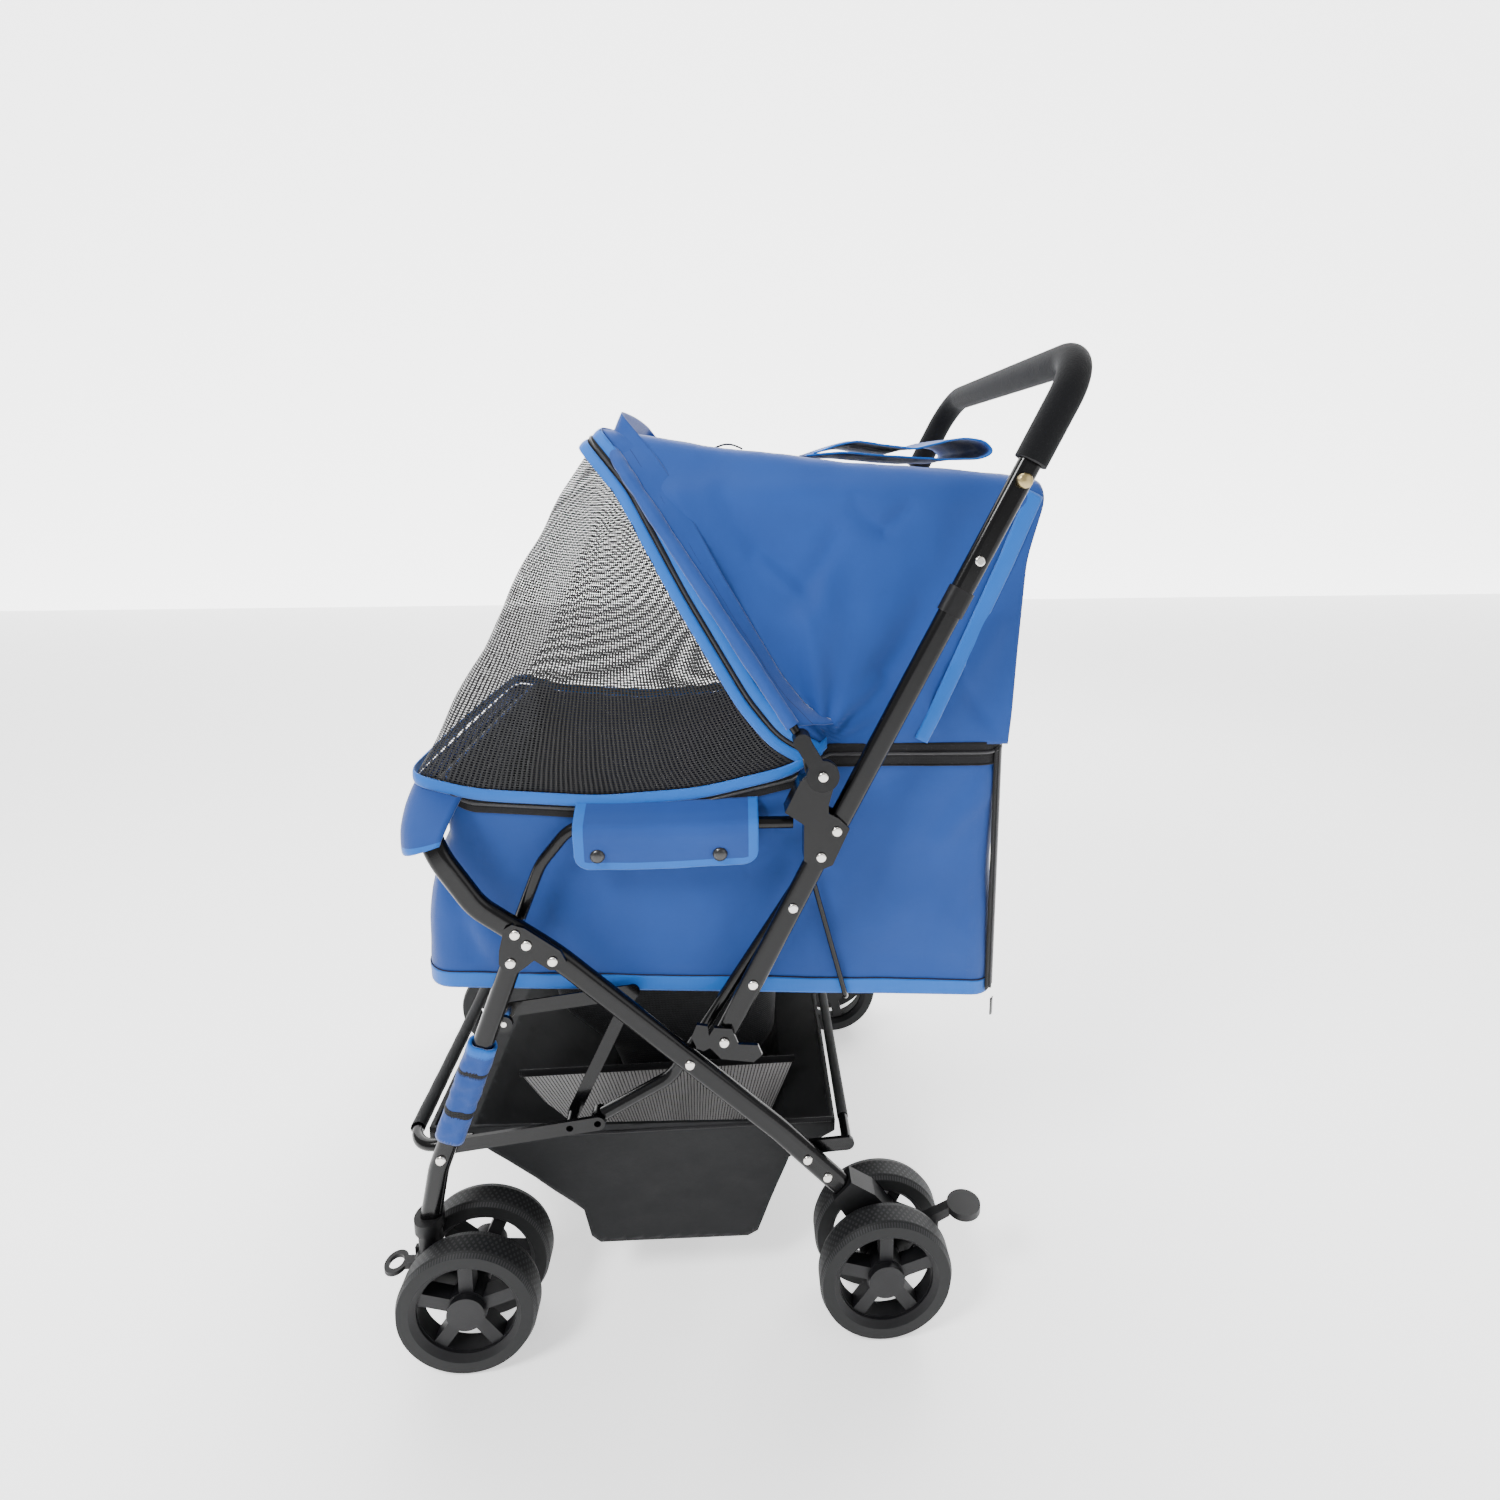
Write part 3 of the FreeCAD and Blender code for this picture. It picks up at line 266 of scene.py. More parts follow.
def polyline(points, count):
    """Points spread evenly along a line of given corners."""
    points = np.array(points, float)
    steps = np.r_[0, np.cumsum(np.linalg.norm(np.diff(points, axis=0), axis=1))]
    where = np.linspace(0, steps[-1], count)
    return np.stack([np.interp(where, steps, points[:, k]) for k in range(points.shape[1])], 1)


def soften(points, rounds, axis=0):
    """Rounds the corners of lines of points, ends held."""
    p = np.moveaxis(np.array(points, float), axis, 0).copy()
    for _ in range(rounds):
        p[1:-1] = 0.25 * p[:-2] + 0.5 * p[1:-1] + 0.25 * p[2:]
    return np.moveaxis(p, 0, axis)


def coons(bottom, top, start, end):
    """A patch between four lines: bottom and top run along u, start and end along v."""
    nu, nv = len(bottom), len(start)
    u = np.linspace(0, 1, nu)[:, None, None]
    v = np.linspace(0, 1, nv)[None, :, None]
    ruled = (1 - v) * bottom[:, None] + v * top[:, None] + (1 - u) * start[None] + u * end[None]
    corner = ((1 - u) * (1 - v) * bottom[0] + u * (1 - v) * bottom[-1]
              + (1 - u) * v * top[0] + u * v * top[-1])
    return ruled - corner


def field(p, scale, seed, octaves=3, stretch=(1, 1, 1)):
    """Smooth noise at every point, about -1 to 1."""
    flat = p.reshape(-1, 3) / scale * np.array(stretch) + seed * 7.31
    out = np.zeros(len(flat))
    for k in range(octaves):
        out += np.array([noise.noise(Vector(q)) for q in flat * 2.0 ** k]) * 0.55 ** k
    return out.reshape(p.shape[:-1])


def crease(x, z, ends, width, height):
    """A soft ridge or valley along a line seen from the side."""
    a, b = np.array(ends[:2], float), np.array(ends[2:], float)
    along = b - a
    t = ((x - a[0]) * along[0] + (z - a[1]) * along[1]) / along.dot(along)
    t_in = np.clip(t, 0, 1)
    gap = np.hypot(x - a[0] - t_in * along[0], z - a[1] - t_in * along[1])
    fade = np.sin(np.pi * np.clip(t * 0.8 + 0.1, 0, 1)) ** 0.5
    return height * np.exp(-(gap / width) ** 2) * fade


# The soft pieces that ride on each body
SOFT = {}


def mesh_object(name, vertices, faces, material, body, uv=None):
    data = bpy.data.meshes.new(name)
    v = np.array(vertices, float).reshape(-1, 3)
    v = (v - np.array([SHIFT, 0, 0])) / 1000
    data.from_pydata(v.tolist(), [], faces)
    if uv is not None:
        layer = data.uv_layers.new(name="UVMap")
        index = np.array([loop.vertex_index for loop in data.loops])
        layer.data.foreach_set("uv", uv[index].astype(np.float32).ravel())
    for m in material if isinstance(material, (list, tuple)) else [material]:
        data.materials.append(MATERIALS[m])
    data.polygons.foreach_set("use_smooth", [True] * len(data.polygons))
    obj = bpy.data.objects.new(name, data)
    bpy.context.scene.collection.objects.link(obj)
    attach(obj, body)
    first = material if isinstance(material, str) else material[0]
    if first.startswith(("fabric", "webbing", "mesh", "zip", "board")):
        SOFT.setdefault(body, []).append(obj)
    return obj


def sheet(name, p, material, body, thick=1.4, wrap=False, pick=None):
    """A cloth surface from a grid of points. pick(u, v) gives the material's number for a face."""
    nu, nv = p.shape[:2]
    lengths_u = np.linalg.norm(np.diff(p, axis=0), axis=2).mean(1)
    lengths_v = np.linalg.norm(np.diff(p, axis=1), axis=2).mean(0)
    u = np.r_[0, np.cumsum(lengths_u)] / 1000
    v = np.r_[0, np.cumsum(lengths_v)] / 1000
    uv = np.stack(np.meshgrid(u, v, indexing="ij"), -1).reshape(-1, 2)
    faces = []
    for i in range(nu if wrap else nu - 1):
        k = (i + 1) % nu
        for j in range(nv - 1):
            faces.append((i * nv + j, k * nv + j, k * nv + j + 1, i * nv + j + 1))
    obj = mesh_object(name, p, faces, material, body, uv)
    if pick is not None:
        numbers = [pick(i, j) for i in range(nu if wrap else nu - 1) for j in range(nv - 1)]
        obj.data.polygons.foreach_set("material_index", numbers)
    if thick:
        solid = obj.modifiers.new("thickness", "SOLIDIFY")
        solid.thickness = thick / 1000
        solid.offset = 0
    return obj


def ribbon(name, path, across, width, material, body, lift=0.0, crown=0.6, thick=1.0, columns=7):
    """A tape that follows a path. across is the direction of its width at each point."""
    path = np.array(path, float)
    across = unit(np.broadcast_to(np.array(across, float), path.shape))
    up = unit(np.cross(np.gradient(path, axis=0), across))
    s = np.linspace(-0.5, 0.5, columns)
    w = np.broadcast_to(np.array(width, float), (len(path),))
    p = (path[:, None] + across[:, None] * (w[:, None] * s)[..., None]
         + up[:, None] * (lift + crown * (1 - (2 * s) ** 2))[None, :, None])
    return sheet(name, p, material, body, thick)


def cord_line(name, path, radius, material, body, closed=False, resolution=3):
    """A round piping along points, as a tube of rings."""
    path = np.array(path, float)
    if closed:
        path = np.concatenate([path, path[:1]])
    along = unit(np.gradient(path, axis=0))
    guide = np.where(np.abs(along[:, 2:]) > 0.92, [[1.0, 0, 0]], [[0, 0, 1.0]])
    side = unit(np.cross(along, guide))
    other = np.cross(along, side)
    radius = np.broadcast_to(np.array(radius, float), (len(path),))[None, :, None]
    turn = np.linspace(0, 2 * np.pi, 4 + 2 * resolution, endpoint=False)[:, None, None]
    p = path[None] + radius * (np.cos(turn) * side[None] + np.sin(turn) * other[None])
    return sheet(name, p, material, body, 0, wrap=True)


def lathe(name, centre, axis, profile, material, body, count=32):
    """A turned piece: profile is (radius, height along the axis)."""
    axis = np.array(axis, float) / np.linalg.norm(axis)
    side = np.cross(axis, [0, 0, 1.0] if abs(axis[2]) < 0.9 else [1.0, 0, 0])
    side = side / np.linalg.norm(side)
    other = np.cross(axis, side)
    turn = np.linspace(0, 2 * np.pi, count, endpoint=False)
    ring = np.cos(turn)[:, None] * side + np.sin(turn)[:, None] * other
    p = np.array([[np.array(centre) + r * d + h * axis for r, h in profile] for d in ring])
    return sheet(name, p, material, body, 0, wrap=True)


def half(z):
    """Half the cabin's width at a height."""
    return np.interp(z, (300, 596, 740, 800, 866), (168, 168, 152, 140, 118))


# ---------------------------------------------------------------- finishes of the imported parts

for row in frame["record"]["subparts"]:
    node = frame["nodes"][row["node"]]
    node.data.materials.clear()
    node.data.materials.append(MATERIALS[row["material_slot"]])


def finish_wheel(name):
    """Tread coordinates on the tyre, and a plain finish on rim and spokes."""
    data = frame["nodes"][name].data
    low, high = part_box(name)
    centre = (np.array(low) + np.array(high)) / 2
    data.materials.append(MATERIALS["rim_black"])
    co = np.empty(len(data.vertices) * 3)
    data.vertices.foreach_get("co", co)
    co = co.reshape(-1, 3) - centre
    radius = np.hypot(co[:, 0], co[:, 2])
    layer = data.uv_layers.new(name="Tread")
    layer.active_render = True
    data.uv_layers.active = layer
    for face in data.polygons:
        turn = [math.atan2(co[i][2], co[i][0]) for i in face.vertices]
        if max(turn) - min(turn) > math.pi:
            turn = [t + 2 * math.pi if t < 0 else t for t in turn]
        for loop, t, i in zip(face.loop_indices, turn, face.vertices):
            layer.data[loop].uv = (t * TYRE_RADIUS, co[i][1])
        face.material_index = 0 if radius[list(face.vertices)].mean() > RIM_RADIUS else 1


for name in frame["nodes"]:
    if "_wheel_" in name:
        finish_wheel(name)


# ---------------------------------------------------------------- cabin tub

PLAN_STEPS = 300
# Each crease: its ends (x, z, x, z), width and height
TUB_CREASES = (((313, 545, 250, 470), 12, 2.0), ((300, 330, 240, 420), 14, 1.8),
               ((-200, 420, -150, 360), 12, 2.0), ((-215, 470, -190, 375), 9, -2.5),
               ((117, 310, 117, 400), 2.0, -1.6))


def plan_outline():
    """The tub's plan, counter-clockwise, as points (x, y)."""
    points = []
    for cx, cy, start in ((CABIN_BACK, -CABIN_HALF, -90), (CABIN_BACK, CABIN_HALF, 0),
                          (CABIN_FRONT, CABIN_HALF, 90), (CABIN_FRONT, -CABIN_HALF, 180)):
        centre = (cx - math.copysign(CABIN_CORNER, cx), cy - math.copysign(CABIN_CORNER, cy))
        for a in np.radians(np.linspace(start, start + 90, 10)):
            points.append((centre[0] + CABIN_CORNER * math.cos(a),
                           centre[1] + CABIN_CORNER * math.sin(a)))
    return polyline(points + points[:1], PLAN_STEPS + 1)[:-1]


PLAN = plan_outline()


def rim_height(x):
    line = np.array(RIM)[::-1]
    return np.interp(x, line[:, 0], line[:, 1])


def floor_height(x):
    return FLOOR_FRONT + (x - CABIN_FRONT) * (FLOOR_BACK - FLOOR_FRONT) / FLOOR_LENGTH


def tub_surface(low, high, rows, lift=0.0, keep=None):
    """Part of the tub's wall. low and high give the heights for an array of x."""
    plan = PLAN if keep is None else PLAN[keep]
    x, y = plan[:, :1], plan[:, 1:]
    t = np.linspace(0, 1, rows)[None]
    z = low(x) + (high(x) - low(x)) * t
    back = np.clip((z - 400) / 90, 0, 1) ** 2 * 24.0 * np.clip((-188 - x) / 45, 0, 1)
    p = np.stack([x + back, y + 0 * t, z], -1)
    centre = np.array([37.0, 0, 0])
    out = p - centre
    out[..., 2] = 0
    out[..., 0] *= np.where(np.abs(p[..., 1]) > 150, 0.12, 1)
    out[..., 1] *= np.where((np.abs(p[..., 0] - 37) > 262), 0.12, 1)
    out = unit(out)
    level = (z - floor_height(x)) / (rim_height(x) - floor_height(x))
    slack = -5.0 * np.sin(np.pi * np.clip(level, 0, 1)) ** 1.5 * (0.5 + 0.5 * field(p, 130, 3, 1))
    folds = field(p, 75, 11, 3, (1.0, 1.0, 0.55)) * 2.1
    for ends, width, height in TUB_CREASES:
        folds += crease(p[..., 0], z, ends, width, height)
    folds *= 1.35 * np.clip(np.minimum(level, 1 - level) * 7, 0.12, 1)
    p += out * (np.minimum(slack + folds, 1.0) + lift - 1.0)[..., None]
    return p


tub = sheet("cabin_wall_cloth", tub_surface(floor_height, rim_height, 70), "fabric_blue",
            "rear_frame", wrap=True)
sheet("cabin_lining", tub_surface(floor_height, rim_height, 40, -2.6), "fabric_navy",
      "rear_frame", 0.6, wrap=True)
sheet("cabin_foot_trim", tub_surface(lambda x: floor_height(x) - 1.5,
                                     lambda x: floor_height(x) + 13.5, 9, 1.1),
      "fabric_sky", "rear_frame", 1.2, wrap=True)
cord_line("cabin_foot_seam", tub_surface(lambda x: floor_height(x) + 14.2,
                                         lambda x: floor_height(x) + 15, 2, 1.3)[:, 0],
          0.6, "fabric_navy", "rear_frame", closed=True, resolution=1)


def plan_half(x):
    """Half the floor's width, narrower inside the rounded corners."""
    into = max(0.0, CABIN_CORNER - min(x - CABIN_FRONT, CABIN_BACK - x))
    return CABIN_HALF - CABIN_CORNER - FLOOR_INSET + math.sqrt(CABIN_CORNER ** 2 - into ** 2)


grid_x = np.linspace(-234, 309, 60)
under = np.array([[(x, y, floor_height(x) + 0.5 - 4 * math.cos(y / 168 * math.pi / 2)
                    * math.sin((x + 238) / 551 * math.pi))
                   for y in np.linspace(-1, 1, 40) * plan_half(x)] for x in grid_x])
sheet("cabin_floor_cloth", under, "fabric_black", "rear_frame")
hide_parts("cabin_tub")

FRONT_PART = np.flatnonzero(PLAN[:, 0] < 118)
order = np.argsort(np.arctan2(PLAN[FRONT_PART, 1], PLAN[FRONT_PART, 0] - 100) % (2 * np.pi))
FRONT_PART = FRONT_PART[order]
REAR_PART = np.flatnonzero(PLAN[:, 0] > 122)
order = np.argsort(np.arctan2(PLAN[REAR_PART, 1], PLAN[REAR_PART, 0] - 130))
REAR_PART = REAR_PART[order]
sheet("window_zip_tape", tub_surface(lambda x: rim_height(x) - 13, lambda x: rim_height(x) - 1,
                                     8, 1.6, FRONT_PART), "webbing_black", "rear_frame", 1.0)
sheet("rear_zip_tape", tub_surface(lambda x: rim_height(x) - 20, lambda x: rim_height(x) + 2,
                                   9, 1.7, REAR_PART), "webbing_black", "rear_frame", 1.2)
cord_line("rear_zip_teeth", tub_surface(lambda x: rim_height(x) - 8, rim_height, 2, 2.9,
                                        REAR_PART)[:, 0], 1.5, "zip_teeth", "rear_frame")
cord_line("rear_zip_edge", tub_surface(lambda x: rim_height(x) - 20, rim_height, 2, 2.2,
                                       REAR_PART)[:, 0], 0.9, "webbing_black", "rear_frame")
cord_line("window_zip_teeth", tub_surface(lambda x: rim_height(x) - 4.5, rim_height, 2, 2.5,
                                          FRONT_PART)[:, 0], 1.3, "zip_teeth", "rear_frame")


# ---------------------------------------------------------------- canopy

def canopy_grid(lift=0.0, columns=120):
    bottom = polyline(((140, 571), (313, 569)), columns)
    top = soften(polyline(ROOF, columns), 3)
    start = soften(polyline(BOW, 64), 2)
    end = soften(polyline(REAR, 64), 2)
    side = coons(bottom, top, start, end)
    x, z = side[..., 0], side[..., 1]
    left = np.stack([x, -half(z), z], -1)
    right = left[:, ::-1] * np.array([1, -1, 1])
    edge = left[:, -1]
    s = np.linspace(-1, 1, 52)[None, 1:-1]
    u = np.linspace(0, 1, columns)[:, None]
    sag = -5.0 * np.sin(np.pi * np.clip(u, 0.02, 1)) * (1 - s ** 2) + 2.5 * (1 - s ** 2)
    roof = np.stack([edge[:, :1] + 0 * s, -edge[:, 1:2] * s, edge[:, 2:] + sag], -1)
    p = soften(np.concatenate([left, roof, right], 1), 7, axis=1)
    n = normals(p)
    if n[columns // 2, 90, 2] < 0:
        n = -n
    x, z = p[..., 0], p[..., 2]
    d = 1.8 * field(p, 95, 5, 3, (1, 1, 0.7))
    d += -9.0 * np.exp(-((z - 738) / 38) ** 2) * np.exp(-((x - 110) / 110) ** 2)
    d += 3.5 * np.exp(-((z - 800) / 18) ** 2)
    for ends, width, height in (((45, 800, 118, 705), 13, -4.5), ((118, 705, 152, 770), 11, -4.0),
                                ((80, 745, 120, 705), 9, 4.5), ((165, 795, 196, 768), 9, -3.5),
                                ((196, 768, 222, 792), 9, -3.0), ((135, 760, 140, 640), 18, 3.5),
                                ((148, 592, 190, 632), 7, 3.5), ((142, 580, 120, 700), 10, 3.0),
                                ((160, 578, 235, 690), 15, -4.0), ((290, 790, 200, 640), 22, -5.0),
                                ((255, 600, 300, 680), 14, 2.5), ((300, 580, 262, 640), 9, -2.5),
                                ((5, 800, 60, 700), 10, 2.5), ((240, 575, 225, 640), 9, 2.5)):
        d += crease(x, z, ends, width, height)
    hub = np.hypot(x - 140, z - 571)
    turn = np.arctan2(z - 571, x - 140)
    d += 3.0 * np.exp(-hub / 75) * np.sin(turn * 11 + 1) * np.clip(hub / 12, 0, 1)
    edge_u = np.clip(np.minimum(u, 1 - u) * 14, 0, 1)
    level = np.clip((z - 570) / 25, 0.1, 1)
    return p + n * (1.35 * d * edge_u * level + lift)[..., None]


canopy = sheet("canopy_cloth", canopy_grid(), "fabric_blue", "canopy", 1.4)
sheet("canopy_lining", canopy_grid(-2.6), "fabric_navy", "canopy", 0.6)

rear_line = soften(polyline(REAR, 40), 2)
rows = []
for x, z in rear_line:
    h = float(half(z)) - 0.5
    y = np.linspace(-1, 1, 46)
    bulge = 3.0 * (1 - y ** 2) * math.sin((z - 565) / 252 * math.pi)
    round_in = -7.0 * np.abs(y) ** 14
    rows.append(np.stack([x + bulge + round_in, h * y, np.full(46, z) - 3.0 * (z > 812)], 1))
rear = np.array(rows)
rear[..., 0] += field(rear, 70, 8, 3) * 1.8
sheet("canopy_rear_cloth", rear, "fabric_blue", "canopy", 1.4)
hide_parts("canopy_shell")


def bow_arch(offset, lift, count=260):
    """A line parallel to the canopy's front edge, over the roof from side to side."""
    line = soften(polyline(BOW, 110), 5)
    along = unit(np.gradient(line, axis=0))
    ahead = np.stack([-along[:, 1], along[:, 0]], 1)
    ahead *= np.sign(-ahead[:, :1])
    line = line + ahead * offset
    left = np.c_[line[:, 0], -(half(line[:, 1]) + lift), line[:, 1]]
    span = np.linspace(-1, 1, 42)[1:-1]
    top = np.stack([np.full(40, left[-1, 0]), -left[-1, 1] * span,
                    left[-1, 2] + lift + 3.0 * (1 - span ** 2)], 1)
    path = np.concatenate([left, top, left[::-1] * np.array([1, -1, 1])])
    across = np.concatenate([ahead, np.repeat(ahead[-1:], 40, 0), ahead[::-1]])
    across = np.c_[across[:, 0], np.zeros(len(across)), across[:, 1]]
    return soften(path, 6), soften(across, 6)


for name, offset, width, material, body, lift in (
        ("canopy_edge_trim", 5.5, 11.0, "fabric_sky", "canopy", 1.6),
        ("bow_zip_tape", 13.5, 7.0, "webbing_black", "canopy", 0.6),
        ("window_side_trim", 21.5, 10.0, "fabric_sky", "canopy", 1.4)):
    path, across = bow_arch(offset, lift)
    ribbon(name, path, across, width, material, body, crown=1.0)
path, _ = bow_arch(13.5, 2.0)
cord_line("bow_zip_teeth", path, 1.2, "zip_teeth", "canopy")


# ---------------------------------------------------------------- mesh window

def window_grid(columns=70, rows=80):
    bow = soften(polyline(BOW, rows), 3)
    front = soften(polyline(FRONT, rows), 3)
    rim = np.array(RIM)[::-1][:-2]
    bottom = polyline([(-238, 547), *[tuple(q + (0, 1)) for q in rim[1:]], (140, 571)], columns)
    top = polyline(((-66, 862), (-66, 862)), columns)
    side = coons(bottom, top, front, bow)[::-1]
    x, z = side[..., 0], side[..., 1]
    left = np.stack([x, -half(z) - 0.2, z], -1)
    y = np.linspace(-1, 1, 62)[1:-1, None]
    edge = left[-1][None]
    face = np.stack([edge[..., 0] + 0 * y - 3 * (1 - y ** 2), -edge[..., 1] * y,
                     edge[..., 2] + 0 * y], -1)
    right = left[::-1] * np.array([1, -1, 1])
    p = soften(np.concatenate([left, face, right]), 9, axis=0)
    n = normals(p)
    if n[p.shape[0] // 2, rows // 3, 0] > 0:
        n = -n
    x, z = p[..., 0], p[..., 2]
    edge_x = np.interp(z, [q[1] for q in FRONT], [q[0] for q in FRONT])
    back = (x - edge_x) * 0.88
    fade = np.exp(-(back / 60) ** 2)
    d = 3.6 * np.sin(back / 5.2 + 2.5 * field(p, 120, 4, 2)) * fade * np.clip((z - 560) / 60, 0, 1)
    d *= np.clip((850 - z) / 50, 0, 1)
    d += 2.2 * field(p, 60, 9, 2, (1.2, 1, 0.4))
    d *= np.clip((z - np.interp(x, *np.array(RIM)[::-1].T)) / 25, 0.05, 1)
    from_ends = np.minimum(np.linspace(0, 1, len(p)), np.linspace(1, 0, len(p)))
    return p + n * d[..., None] * np.clip(from_ends * 30, 0, 1)[:, None, None]


window_points = window_grid()
window = sheet("window_mesh", window_points, "mesh_black", "canopy", 0)
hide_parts("canopy_window")
foot_path = soften(polyline(window_points[:, 0], 260), 4)
away = unit(np.c_[foot_path[:, 0] * 0.2, foot_path[:, 1], foot_path[:, 2] * 0])
foot_path = foot_path + away * 1.6 + np.array([0, 0, 3.5])
ribbon("window_foot_trim", foot_path, (0, 0, 1), 11.0, "fabric_sky", "canopy", crown=-1.0)


# ---------------------------------------------------------------- side flaps over the tray arms

def flap_grid(side):
    profile = soften(polyline(((168.6, 523), (180, 516.5), (189.3, 509), (190, 500), (188.2, 486),
                               (185, 466)), 46), 3)
    rows = []
    for x in np.linspace(FLAP_FRONT, FLAP_BACK, 110):
        close = min(x - FLAP_FRONT, FLAP_BACK - x)
        rise = max(0.0, FLAP_CORNER - close)
        cut = FLAP_CORNER - math.sqrt(max(0, FLAP_CORNER ** 2 - rise ** 2))
        t = np.linspace(0, 1 - cut / 72, 46)
        line = np.stack([np.interp(t, np.linspace(0, 1, 46), profile[:, k]) for k in (0, 1)], 1)
        dip = 1.5 * math.sin((x - FLAP_FRONT) / (FLAP_BACK - FLAP_FRONT) * math.pi)
        rows.append(np.c_[np.full(46, x), side * line[:, 0], line[:, 1] - dip])
    p = np.array(rows)
    p[..., 1] += side * 1.2 * field(p, 45, 2 + side, 2)
    return p


for side_name, side in SIDES:
    p = flap_grid(side)

    def pick(i, j, p=p):
        return int(i < 6 or i > 102 or j > 39)
    flap = sheet("flap_" + side_name, p, ["fabric_blue", "fabric_sky"], "rear_frame", 1.8,
                 pick=pick)
    drop = float(np.linalg.norm(np.diff(p[55], axis=0), axis=1).sum()) / 1000
    for number, x, z in ((1, -69, 480), (2, 41, 478)):
        lathe("snap_%s_%d" % (side_name, number), (x, side * 188.6, z), (0, side, 0),
              ((0.01, 3.4), (3.0, 3.3), (5.2, 2.4), (6.6, 0.9), (6.8, 0.0), (6.8, -2)),
              "snap_black", "rear_frame")


# ---------------------------------------------------------------- soft copies of CAD solids

def cloth_copy(node, name, materials, body, move, keep=None, pick=None, reach=9.0):
    """A finely divided copy of a soft CAD solid, moved by a smooth field of offsets in mm."""
    mesh = bmesh.new()
    mesh.from_mesh(frame["nodes"][node].data)
    bmesh.ops.remove_doubles(mesh, verts=mesh.verts, dist=1e-5)
    if keep is not None:
        gone = [f for f in mesh.faces if not keep(f.calc_center_median())]
        bmesh.ops.delete(mesh, geom=gone, context="FACES")
    for _ in range(6):
        edges = [e for e in mesh.edges if e.calc_length() > reach / 1000]
        if not edges:
            break
        bmesh.ops.subdivide_edges(mesh, edges=edges, cuts=1)
        bmesh.ops.triangulate(mesh, faces=[f for f in mesh.faces if len(f.verts) > 3])
    mesh.normal_update()
    mesh.verts.ensure_lookup_table()
    p = np.array([v.co for v in mesh.verts]) * 1000 + np.array([SHIFT, 0, 0])
    n = np.array([v.normal for v in mesh.verts])
    for vertex, step in zip(mesh.verts, move(p, n) / 1000):
        vertex.co += Vector(step)
    layer = mesh.loops.layers.uv.new("UVMap")
    for face in mesh.faces:
        axis = max(range(3), key=lambda k: abs(face.normal[k]))
        a, b = ((1, 2), (0, 2), (0, 1))[axis]
        for loop in face.loops:
            loop[layer].uv = (loop.vert.co[a], loop.vert.co[b])
        face.smooth = True
        if pick is not None:
            face.material_index = pick(face.calc_center_median() * 1000 + Vector((SHIFT, 0, 0)))
    data = bpy.data.meshes.new(name)
    mesh.to_mesh(data)
    mesh.free()
    data.set_sharp_from_angle(angle=math.radians(50))
    for material in materials:
        data.materials.append(MATERIALS[material])
    obj = bpy.data.objects.new(name, data)
    bpy.context.scene.collection.objects.link(obj)
    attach(obj, body)
    SOFT.setdefault(body, []).append(obj)
    return obj


def basket_sag(p, n):
    """Side walls pulled in, slopes and floor hanging, and small folds all over."""
    x, y, z = p.T
    level = np.clip((z - 53) / 132, 0, 1)
    out = np.zeros_like(p)
    out[:, 1] = -np.sign(y) * np.clip((np.abs(y) - 150) / 18, 0, 1) * 4.0 * np.sin(np.pi * level)
    flat = 1 - np.clip((np.abs(y) - 120) / 48, 0, 1)
    out[:, 2] = -4.0 * flat * np.sin(np.pi * np.clip((x + 242) / 394, 0, 1)) * (level < 0.9)
    away = unit(np.stack([(x + 45) * 0.3, y, (z - 150) * 0.4], 1))
    return out + away * (1.8 * field(p, 55, 21, 3) * np.sin(np.pi * level) - 0.6)[:, None]


basket = cloth_copy("basket", "basket_cloth", ["fabric_black"], "rear_frame", basket_sag)
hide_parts("basket")
for side_name, side in SIDES:
    cord_line("basket_hem_" + side_name, [(-238, side * 168.4, 193), (-205, side * 168.4, 184),
                                          (-60, side * 168.2, 181), (60, side * 168.2, 180),
                                          (148, side * 168.4, 180)],
              2.2, "webbing_black", "rear_frame")


def basket_end(z, front):
    """Where the basket's sloping end panels are at a height."""
    return np.interp(z, (60, 120, 180), (-96, -140, -181) if front else (66, 92, 117))


for side_name, side in SIDES:
    grid = np.array([[(basket_end(z, True) + (basket_end(z, False) - basket_end(z, True)) * u,
                       side * (88 + 3 * math.sin(u * 9) * math.sin((z - 60) / 38)), z)
                      for z in np.linspace(62, 176, 24)] for u in np.linspace(0, 1, 60)])
    sheet("basket_mesh_" + side_name, grid, "mesh_grey", "rear_frame", 0)
    hem = np.array([(x, side * 88, 179) for x in np.linspace(-181, 117, 40)])
    ribbon("basket_mesh_hem_" + side_name, hem, (0, 0, 1), 8.0, "webbing_black", "rear_frame")


def pouch_ends(z):
    return (np.interp(z, (136, 180, 229, 330), (-77, -93, -148, -170)),
            np.interp(z, (136, 180, 237, 330), (64, 98, 101, 105)))


rows = []
for z in np.r_[np.linspace(308, 150, 26), 143, 138.5, 136.4]:
    low, high = pouch_ends(z)
    drop = 0 if z > 150 else 14 * (1 - (z - 136) / 14) ** 2
    half_y = 80 - 10 * (330 - z) / 194 - drop
    turn = np.linspace(0, 2 * np.pi, 90, endpoint=False)
    cx, rx = (low + high) / 2, (high - low) / 2 - drop
    square = (np.abs(np.cos(turn)) ** 4 + np.abs(np.sin(turn)) ** 4) ** -0.25
    rows.append(np.stack([cx + rx * np.cos(turn) * square, half_y * np.sin(turn) * square,
                          np.full(90, z)], 1))
pouch = np.array(rows).transpose(1, 0, 2)
pouch[..., 1] += 2.5 * field(pouch, 50, 31, 2)
sheet("pouch_cloth", pouch, "mesh_dark", "rear_frame", 1.2, wrap=True)
cap = np.array([[(x, y, 136.2) for y in np.linspace(-50, 50, 12)]
                for x in np.linspace(-58, 45, 20)])
sheet("pouch_floor", cap, "mesh_dark", "rear_frame", 1.0)


